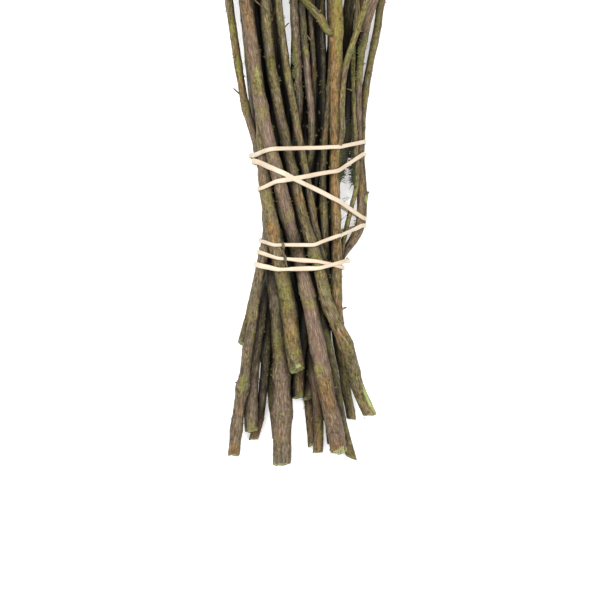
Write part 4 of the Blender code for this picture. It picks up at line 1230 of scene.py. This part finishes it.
def grow_fuzz(name, nodes, material):
    """Specks of lichen and torn bark scattered over the twigs, which roughen their outlines."""
    shape = Shape()
    draw = np.random.default_rng(number_of(name))
    for node in nodes:
        low, high = heights(LINES[node][0])[[0, -1]]
        for y in np.arange(min(low, high) + 3, max(low, high) - 3, FUZZ_SPACING):
            y += draw.normal() * FUZZ_SPACING
            side = float(np.clip(math.cos(draw.uniform(-0.3, math.pi + 0.3)), -0.995, 0.995))
            spot, _ = place_on(node, y, side)
            beside = max(top_at(spot[0] + gap * MM, spot[1]) for gap in (-2.5, 0, 2.5))
            if spot[2] < beside - HIDDEN_DEPTH:
                continue
            for _ in range(int(draw.integers(*FUZZ_STRANDS))):
                start, out = place_on(node, y + draw.normal() * 0.6, side)
                heading = out + draw.normal(size=3) * 0.8
                length = draw.uniform(*FUZZ_LENGTH) * MM
                track = keep_inside(curved_strand(start - out * 0.15 * MM, heading, length, draw, 1.2, 4))
                radii = draw.uniform(0.12, 0.26) * MM * np.array([1.0, 0.9, 0.75, 0.4])
                thin_tube(shape, track, radii, 3, int(draw.integers(90)))
    place_piece(shape.mesh(name), None, [material])


def laid_line(route, lift, count):
    """A line over the bundle that follows a drawn route and rests on what is highest below it."""
    xy = np.array(route, float) * MM + ORIGIN
    reach = along_line(xy)
    at = np.linspace(0, reach[-1], count)
    flat = np.stack([np.interp(at, reach, xy[:, k]) for k in (0, 1)], axis=1)
    for _ in range(3):
        flat[1:-1] = (flat[:-2] + 2 * flat[1:-1] + flat[2:]) / 4
    tops = np.array([top_at(x, y) for x, y in flat]) + lift
    rest = tops.copy()
    for _ in range(40):
        rest[1:-1] = np.maximum(tops[1:-1], (rest[:-2] + rest[2:]) / 2 - 0.02 * MM)
    return np.concatenate([flat, rest[:, None]], axis=1)


def make_strip():
    """A torn strip of bark, curled along its edges, that lies over the lower band."""
    rings = 60
    line = laid_line(STRIP_ROUTE, 0.45 * MM, rings)
    along, right, up = directions(line)
    reach = along_line(line)
    share = reach / reach[-1]
    wide = 0.62 * MM * (1 + 0.3 * np.sin(share * 23) + 0.2 * np.sin(share * 41)) * np.minimum(
        1, 6 * np.minimum(share, 1 - share) + 0.25)
    across = np.array([-1, -0.6, 0, 0.6, 1, 0.6, 0, -0.6])
    height = np.array([0.22, 0.12, 0.16, 0.12, 0.22, -0.12, -0.10, -0.12]) * MM
    sides = len(across)
    points = (line[:, None] + right[:, None] * (across[None] * wide[:, None])[..., None]
              + up[:, None] * height[None, :, None])
    spread = np.stack([np.repeat(across[None], rings, 0) * 0.6, np.zeros((rings, sides)),
                       np.repeat(reach[:, None] / MM, sides, 1)], axis=2).reshape(-1, 3)
    shape = Shape()
    shape.add(points.reshape(-1, 3), tube_faces(rings, sides), 0, spread, growth=(0.5, 0.0, 0.15))
    close_end(shape, points[0], along[0], 0, 1)
    close_end(shape, points[-1][::-1], -along[-1], 0, 2)
    place_piece(shape.mesh("torn_bark_strip"), None, [bark_material("bark_brown")])


def make_crossing_shoot():
    """The thin dead shoot that lies across the twigs near the top of the picture."""
    line = laid_line(SHOOT_ROUTE, 0.6 * MM, 40)
    share = np.linspace(0, 1, 40)
    radii = 0.55 * MM * (1 - 0.5 * share) * (1 + 0.14 * np.sin(share * 31))
    shape = Shape()
    thin_tube(shape, line, radii, 8, 12, (0.25, 0, 0.1), (0.5, 0.2, 0))
    draw = np.random.default_rng(8)
    along = np.gradient(line, axis=0)
    for k in (7, 15, 24, 32):
        grow_bud(shape, line[k], along[k], radii[k], draw, k)
    place_piece(shape.mesh("crossing_shoot"), None, [bark_material("bark_brown")])


def make_fibres(name, material):
    """Loose hairs and frayed wood fibres."""
    shape = Shape()
    draw = np.random.default_rng(21)
    share = np.linspace(0, 1, 10)
    for fibre in FIBRES[name]:
        start, end = (np.array(end) * MM + ORIGIN for end in (fibre.start, fibre.end))
        flat = start + (end - start) * share[:, None]
        sway = np.cumsum(draw.normal(size=(10, 2)), axis=0) * 0.05 * MM
        height = max(top_at(*start), top_at(*end)) + fibre.rise * MM * (1 - share * 0.5)
        line = np.concatenate([flat + sway, height[:, None]], axis=1)
        thin_tube(shape, line, fibre.radius * MM * (1 - 0.6 * share), 5, 3)
    place_piece(shape.mesh(name), None, [material])


# Rubber bands

def sections_of(node):
    """The four corners of a packed band's section, section after section round the band.

    The strip's thickness and width are its two commonest edge lengths, and a section is a ring
    of four such edges. One that has lost a corner on a straight stretch is passed over.
    """
    work = bmesh.new()
    work.from_mesh(frame["nodes"][node].data)
    bmesh.ops.remove_doubles(work, verts=work.verts, dist=0.005 * MM)
    work.verts.index_update()
    places = np.array([corner.co[:] for corner in work.verts])
    ends = np.array([[corner.index for corner in edge.verts] for edge in work.edges])
    work.free()
    lengths = np.linalg.norm(places[ends[:, 0]] - places[ends[:, 1]], axis=1) / MM
    found, counts = np.unique(lengths.round(2), return_counts=True)
    partners = []
    for size in sorted(found[np.argsort(counts)[-2:]]):
        off = np.abs(lengths - size)
        partner = np.full(len(places), -1)
        for a, b in ends[[edge for edge in np.argsort(-off) if off[edge] < 0.001]]:
            partner[a], partner[b] = b, a
        partners.append(partner)
    thin, broad = partners
    section_of = np.full(len(places), -1)
    sections = []
    for a in range(len(places)):
        b, d = broad[a], thin[a]
        if section_of[a] < 0 and min(b, d) >= 0 and thin[b] == broad[d] >= 0:
            section_of[[a, b, thin[b], d]] = len(sections)
            sections.append([a, b, thin[b], d])
    next_to = [set() for _ in places]
    for a, b in ends:
        next_to[a].add(b)
        next_to[b].add(a)
    middles = np.array([places[section].mean(axis=0) for section in sections])
    rows, here, seen = [places[sections[0]]], 0, {0}
    while True:
        ahead, spread, corners = set(), list(sections[here]), set(sections[here])
        while spread:
            for corner in next_to[spread.pop()] - corners:
                corners.add(corner)
                if section_of[corner] < 0:
                    spread.append(corner)
                elif section_of[corner] not in seen:
                    ahead.add(section_of[corner])
        if not ahead:
            break
        here = min(ahead, key=lambda section: np.linalg.norm(middles[section] - middles[here]))
        seen.add(here)
        a, b, c, d = sections[here]
        turns = [places[turn] for turn in ([a, b, c, d], [b, a, d, c], [c, d, a, b], [d, c, b, a])]
        rows.append(min(turns, key=lambda turn: np.linalg.norm(turn - rows[-1])))
    if len(rows) < max(0.95 * len(sections), 0.9 * len(places) / 4):
        raise RuntimeError("the sections of %s can't be read" % node)
    return np.array(rows)


def closed_curve(rows, count):
    """Evenly spaced rows along a smooth closed curve through the given rows."""
    ring = np.concatenate([rows[-2:], rows, rows[:3]])
    reach = along_line(ring[:, :3])
    at = np.linspace(reach[2], reach[len(rows) + 2], count, endpoint=False)
    return curve_through(ring, reach, at)


def strand_widths(node, middles):
    """Width of the strip at each place: as seen on the front, and plain at the back."""
    drawn = np.array(STRAND_WIDTHS[node])
    gap = np.linalg.norm(((middles[:, :2] - ORIGIN) / MM)[:, None] - drawn[None, :, :2], axis=2)
    weight = np.exp(-(gap / WIDTH_REACH) ** 2) + 1e-9
    front = (weight * drawn[:, 2]).sum(1) / weight.sum(1)
    near = np.exp(-(gap.min(1) / (3 * WIDTH_REACH)) ** 2) * (middles[:, 2] > middles[:, 2].mean())
    return (BACK_WIDTH + (front - BACK_WIDTH) * near) * SEEN_WIDTH * MM


def drawn_in(middle, half):
    """The path with its turns at the bundle's sides drawn in until they nearly touch the bark."""
    shifts = np.zeros_like(middle)
    count = len(middle)
    wide = np.abs(middle[:, 0] - ORIGIN[0])
    turns = [k for k in range(count) if wide[k] > TURN_LEAST
             and wide[k] >= wide[np.arange(k - TURN_SPAN, k + TURN_SPAN + 1) % count].max()]
    away = np.abs(np.arange(count)[:, None] - np.array(turns)[None])
    away = np.minimum(away, count - away).min(1) * BAND_STEP
    turning = np.exp(-(away / TURN_REACH) ** 2)
    for k, place in enumerate(middle):
        touched, _, _, gap = TWIG_SURFACE.find_nearest(Vector(place))
        out = place - np.array(touched)
        near = ease(-gap, -3.6 * MM, -3.0 * MM)
        shifts[k] = -out / gap * max(0.0, gap - half - SIDE_AIR) * near * turning[k]
    for _ in range(6):
        shifts = evened(shifts)
    return middle + shifts


def dress_band(node):
    """A rubber band with rounded edges, uneven width and small waves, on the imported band's path."""
    rails = sections_of(node)
    wide_way = (rails[:, 1] + rails[:, 2] - rails[:, 0] - rails[:, 3]) / 2
    thick_way = (rails[:, 3] + rails[:, 2] - rails[:, 0] - rails[:, 1]) / 2
    rows = np.concatenate([rails.mean(1), wide_way, thick_way], axis=1)
    rows = closed_curve(rows, int(along_line(rails.mean(1))[-1] / BAND_STEP))
    rows = evened(evened(rows))
    middle, wide_way = rows[:, :3], unit(rows[:, 3:6])
    thick = np.linalg.norm(rows[:, 6:], axis=1)[:, None]
    thick_way = rows[:, 6:] / thick
    middle = drawn_in(middle, float(thick.mean()) / 2)
    seed = number_of(node)
    sway = noise(middle / (9 * MM), seed)[:, None] * 0.16 * MM
    width = strand_widths(node, middle)
    width = np.convolve(np.concatenate([width[-4:], width, width[:4]]), np.ones(9) / 9, "valid")
    width = width[:, None] * (1 + 0.05 * noise(middle / (4 * MM), seed + 1)[:, None])
    x, z = (np.sign(part) * np.abs(part) ** BAND_EDGE / 2 for part in round_way(BAND_SIDES)[1:])
    points = ((middle + wide_way * sway)[:, None] + wide_way[:, None] * (x * width)[..., None]
              + thick_way[:, None] * (z * thick)[..., None])
    ripple = noise(points / (1.5 * MM), seed + 2)[..., None] * 0.045 * MM
    points = points + thick_way[:, None] * ripple * np.sign(z)[None, :, None]
    shape = Shape()
    shape.add(points.reshape(-1, 3),
              tube_faces(len(middle) + 1, BAND_SIDES) % (len(middle) * BAND_SIDES))
    mesh = shape.mesh(node + "_rubber")
    work = bmesh.new()
    work.from_mesh(mesh)
    bmesh.ops.recalc_face_normals(work, faces=work.faces)
    work.to_mesh(mesh)
    work.free()
    mesh.shade_smooth()
    place_piece(mesh, node, [rubber_material()])


# Stage

def look_down_camera():
    settings = stage_settings()
    camera = bpy.data.cameras.new("bundle_camera")
    camera.lens = settings.camera_lens
    camera.sensor_width = 36
    camera.clip_start = 0.05
    place = link("bundle_camera", camera)
    place.location = (*(ORIGIN + np.array(PICTURE_MIDDLE) * MM), 20 * MM + settings.camera_height)
    bpy.context.scene.camera = place


def area_light(name, location, size, power):
    light = bpy.data.lights.new(name, "AREA")
    light.shape = "DISK"
    light.size = size
    light.energy = power
    lamp = link(name, light)
    lamp.location = location
    aim = Vector((0, -0.05, 0.02)) - Vector(location)
    lamp.rotation_euler = aim.to_track_quat("-Z", "Y").to_euler()


def build_floor():
    settings = stage_settings()
    mesh = bpy.data.meshes.new("floor")
    half = 3.0
    mesh.from_pydata([(-half, -half, 0), (half, -half, 0), (half, half, 0), (-half, half, 0)],
                     [], [(0, 1, 2, 3)])
    floor = link("floor", mesh)
    material, tree, shader = new_material("pale_floor")
    colour = solid(settings.floor)
    feed(tree, shader, {"Base Color": colour, "Roughness": 0.9, "Emission Color": colour,
                        "Emission Strength": settings.floor_glow})
    mesh.materials.append(material)


class BUNDLE_OT_front_twigs(bpy.types.Operator):
    """Model the bark, ends and shoots of the twigs that the camera sees"""
    bl_idname = "bundle.front_twigs"
    bl_label = "Front twigs"

    def execute(self, context):
        for node in FRONT_NODES:
            dress_twig(node, sizes().ring_step, FRONT_SIDES)
        return {"FINISHED"}


class BUNDLE_OT_back_twigs(bpy.types.Operator):
    """Model the twigs in the middle and at the back of the bundle"""
    bl_idname = "bundle.back_twigs"
    bl_label = "Back twigs"

    def execute(self, context):
        for node in BACK_NODES:
            dress_twig(node, BACK_STEP * sizes().ring_step, PLAIN_SIDES)
        return {"FINISHED"}


class BUNDLE_OT_branches(bpy.types.Operator):
    """Model the main branches and lead each one into its twig"""
    bl_idname = "bundle.branches"
    bl_label = "Branches"

    def execute(self, context):
        for node in BRANCH_NODES:
            dress_branch(node, BRANCH_STEP * sizes().ring_step, PLAIN_SIDES)
        return {"FINISHED"}


class BUNDLE_OT_growth(bpy.types.Operator):
    """Grow the tufts of lichen and moss on the bark"""
    bl_idname = "bundle.growth"
    bl_label = "Lichen and moss"

    def execute(self, context):
        own = colours()
        pale = tuft_material("lichen_strands", own.tuft, rgb(146, 146, 92))
        moss = tuft_material("moss_strands", own.moss, rgb(76, 76, 44))
        grow_tufts("lichen_tufts", pale)
        grow_tufts("moss_tufts", moss)
        crumbs = tuft_material("lichen_specks", rgb(84, 76, 46), rgb(122, 116, 64))
        grow_fuzz("lichen_specks", FRONT_NODES, crumbs)
        return {"FINISHED"}


class BUNDLE_OT_loose_pieces(bpy.types.Operator):
    """Lay the torn bark strip, the crossing shoot and the loose fibres on the bundle"""
    bl_idname = "bundle.loose_pieces"
    bl_label = "Loose pieces"

    def execute(self, context):
        own = colours()
        make_strip()
        make_crossing_shoot()
        make_fibres("dark_hairs", tuft_material("dark_hair", rgb(30, 26, 22), rgb(54, 46, 36)))
        make_fibres("frayed_fibres", tuft_material("frayed_wood", own.fresh, own.wood))
        return {"FINISHED"}


class BUNDLE_OT_rubber_bands(bpy.types.Operator):
    """Round and wave the two rubber bands"""
    bl_idname = "bundle.rubber_bands"
    bl_label = "Rubber bands"

    def execute(self, context):
        for node in BANDS:
            dress_band(node)
        return {"FINISHED"}


class BUNDLE_OT_stage(bpy.types.Operator):
    """Set the pale floor, the soft lights and the camera that looks down on the bundle"""
    bl_idname = "bundle.stage"
    bl_label = "Stage"

    def execute(self, context):
        settings = stage_settings()
        look_down_camera()
        build_floor()
        area_light("key_light", (-0.35, 0.25, 1.1), 0.9, settings.light_power)
        area_light("fill_light", (0.45, -0.35, 1.0), 0.9, settings.light_power * 0.55)
        world = bpy.data.worlds.new("soft_room")
        world.use_nodes = True
        sky = world.node_tree.nodes["Background"]
        sky.inputs["Color"].default_value = (1, 1, 1, 1)
        sky.inputs["Strength"].default_value = settings.sky
        context.scene.world = world
        context.scene.view_settings.view_transform = "Standard"
        return {"FINISHED"}


class BUNDLE_PT_panel(bpy.types.Panel):
    bl_idname = "BUNDLE_PT_panel"
    bl_label = "Bundle of twigs"
    bl_space_type = "VIEW_3D"
    bl_region_type = "UI"
    bl_category = "Twigs"

    def draw(self, context):
        for settings in (context.scene.bundle_sizes, context.scene.bundle_colours,
                         context.scene.bundle_stage):
            box = self.layout.box()
            for name in settings.bl_rna.properties.keys():
                if name not in ("rna_type", "name"):
                    box.prop(settings, name)
        for step in STEPS:
            self.layout.operator(step.bl_idname)


STEPS = (BUNDLE_OT_front_twigs, BUNDLE_OT_back_twigs, BUNDLE_OT_branches, BUNDLE_OT_rubber_bands,
         BUNDLE_OT_growth, BUNDLE_OT_loose_pieces, BUNDLE_OT_stage)
SETTINGS = {"bundle_sizes": BundleSizes, "bundle_colours": BundleColours,
            "bundle_stage": BundleStage}


def register():
    for name, group in SETTINGS.items():
        bpy.utils.register_class(group)
        setattr(bpy.types.Scene, name, bpy.props.PointerProperty(type=group))
    for step in STEPS:
        bpy.utils.register_class(step)
    bpy.utils.register_class(BUNDLE_PT_panel)


def unregister():
    bpy.utils.unregister_class(BUNDLE_PT_panel)
    for step in reversed(STEPS):
        bpy.utils.unregister_class(step)
    for name, group in SETTINGS.items():
        delattr(bpy.types.Scene, name)
        bpy.utils.unregister_class(group)


def main():
    register()
    for step in STEPS:
        family, action = step.bl_idname.split(".")
        getattr(getattr(bpy.ops, family), action)()


if __name__ == "__main__":
    main()
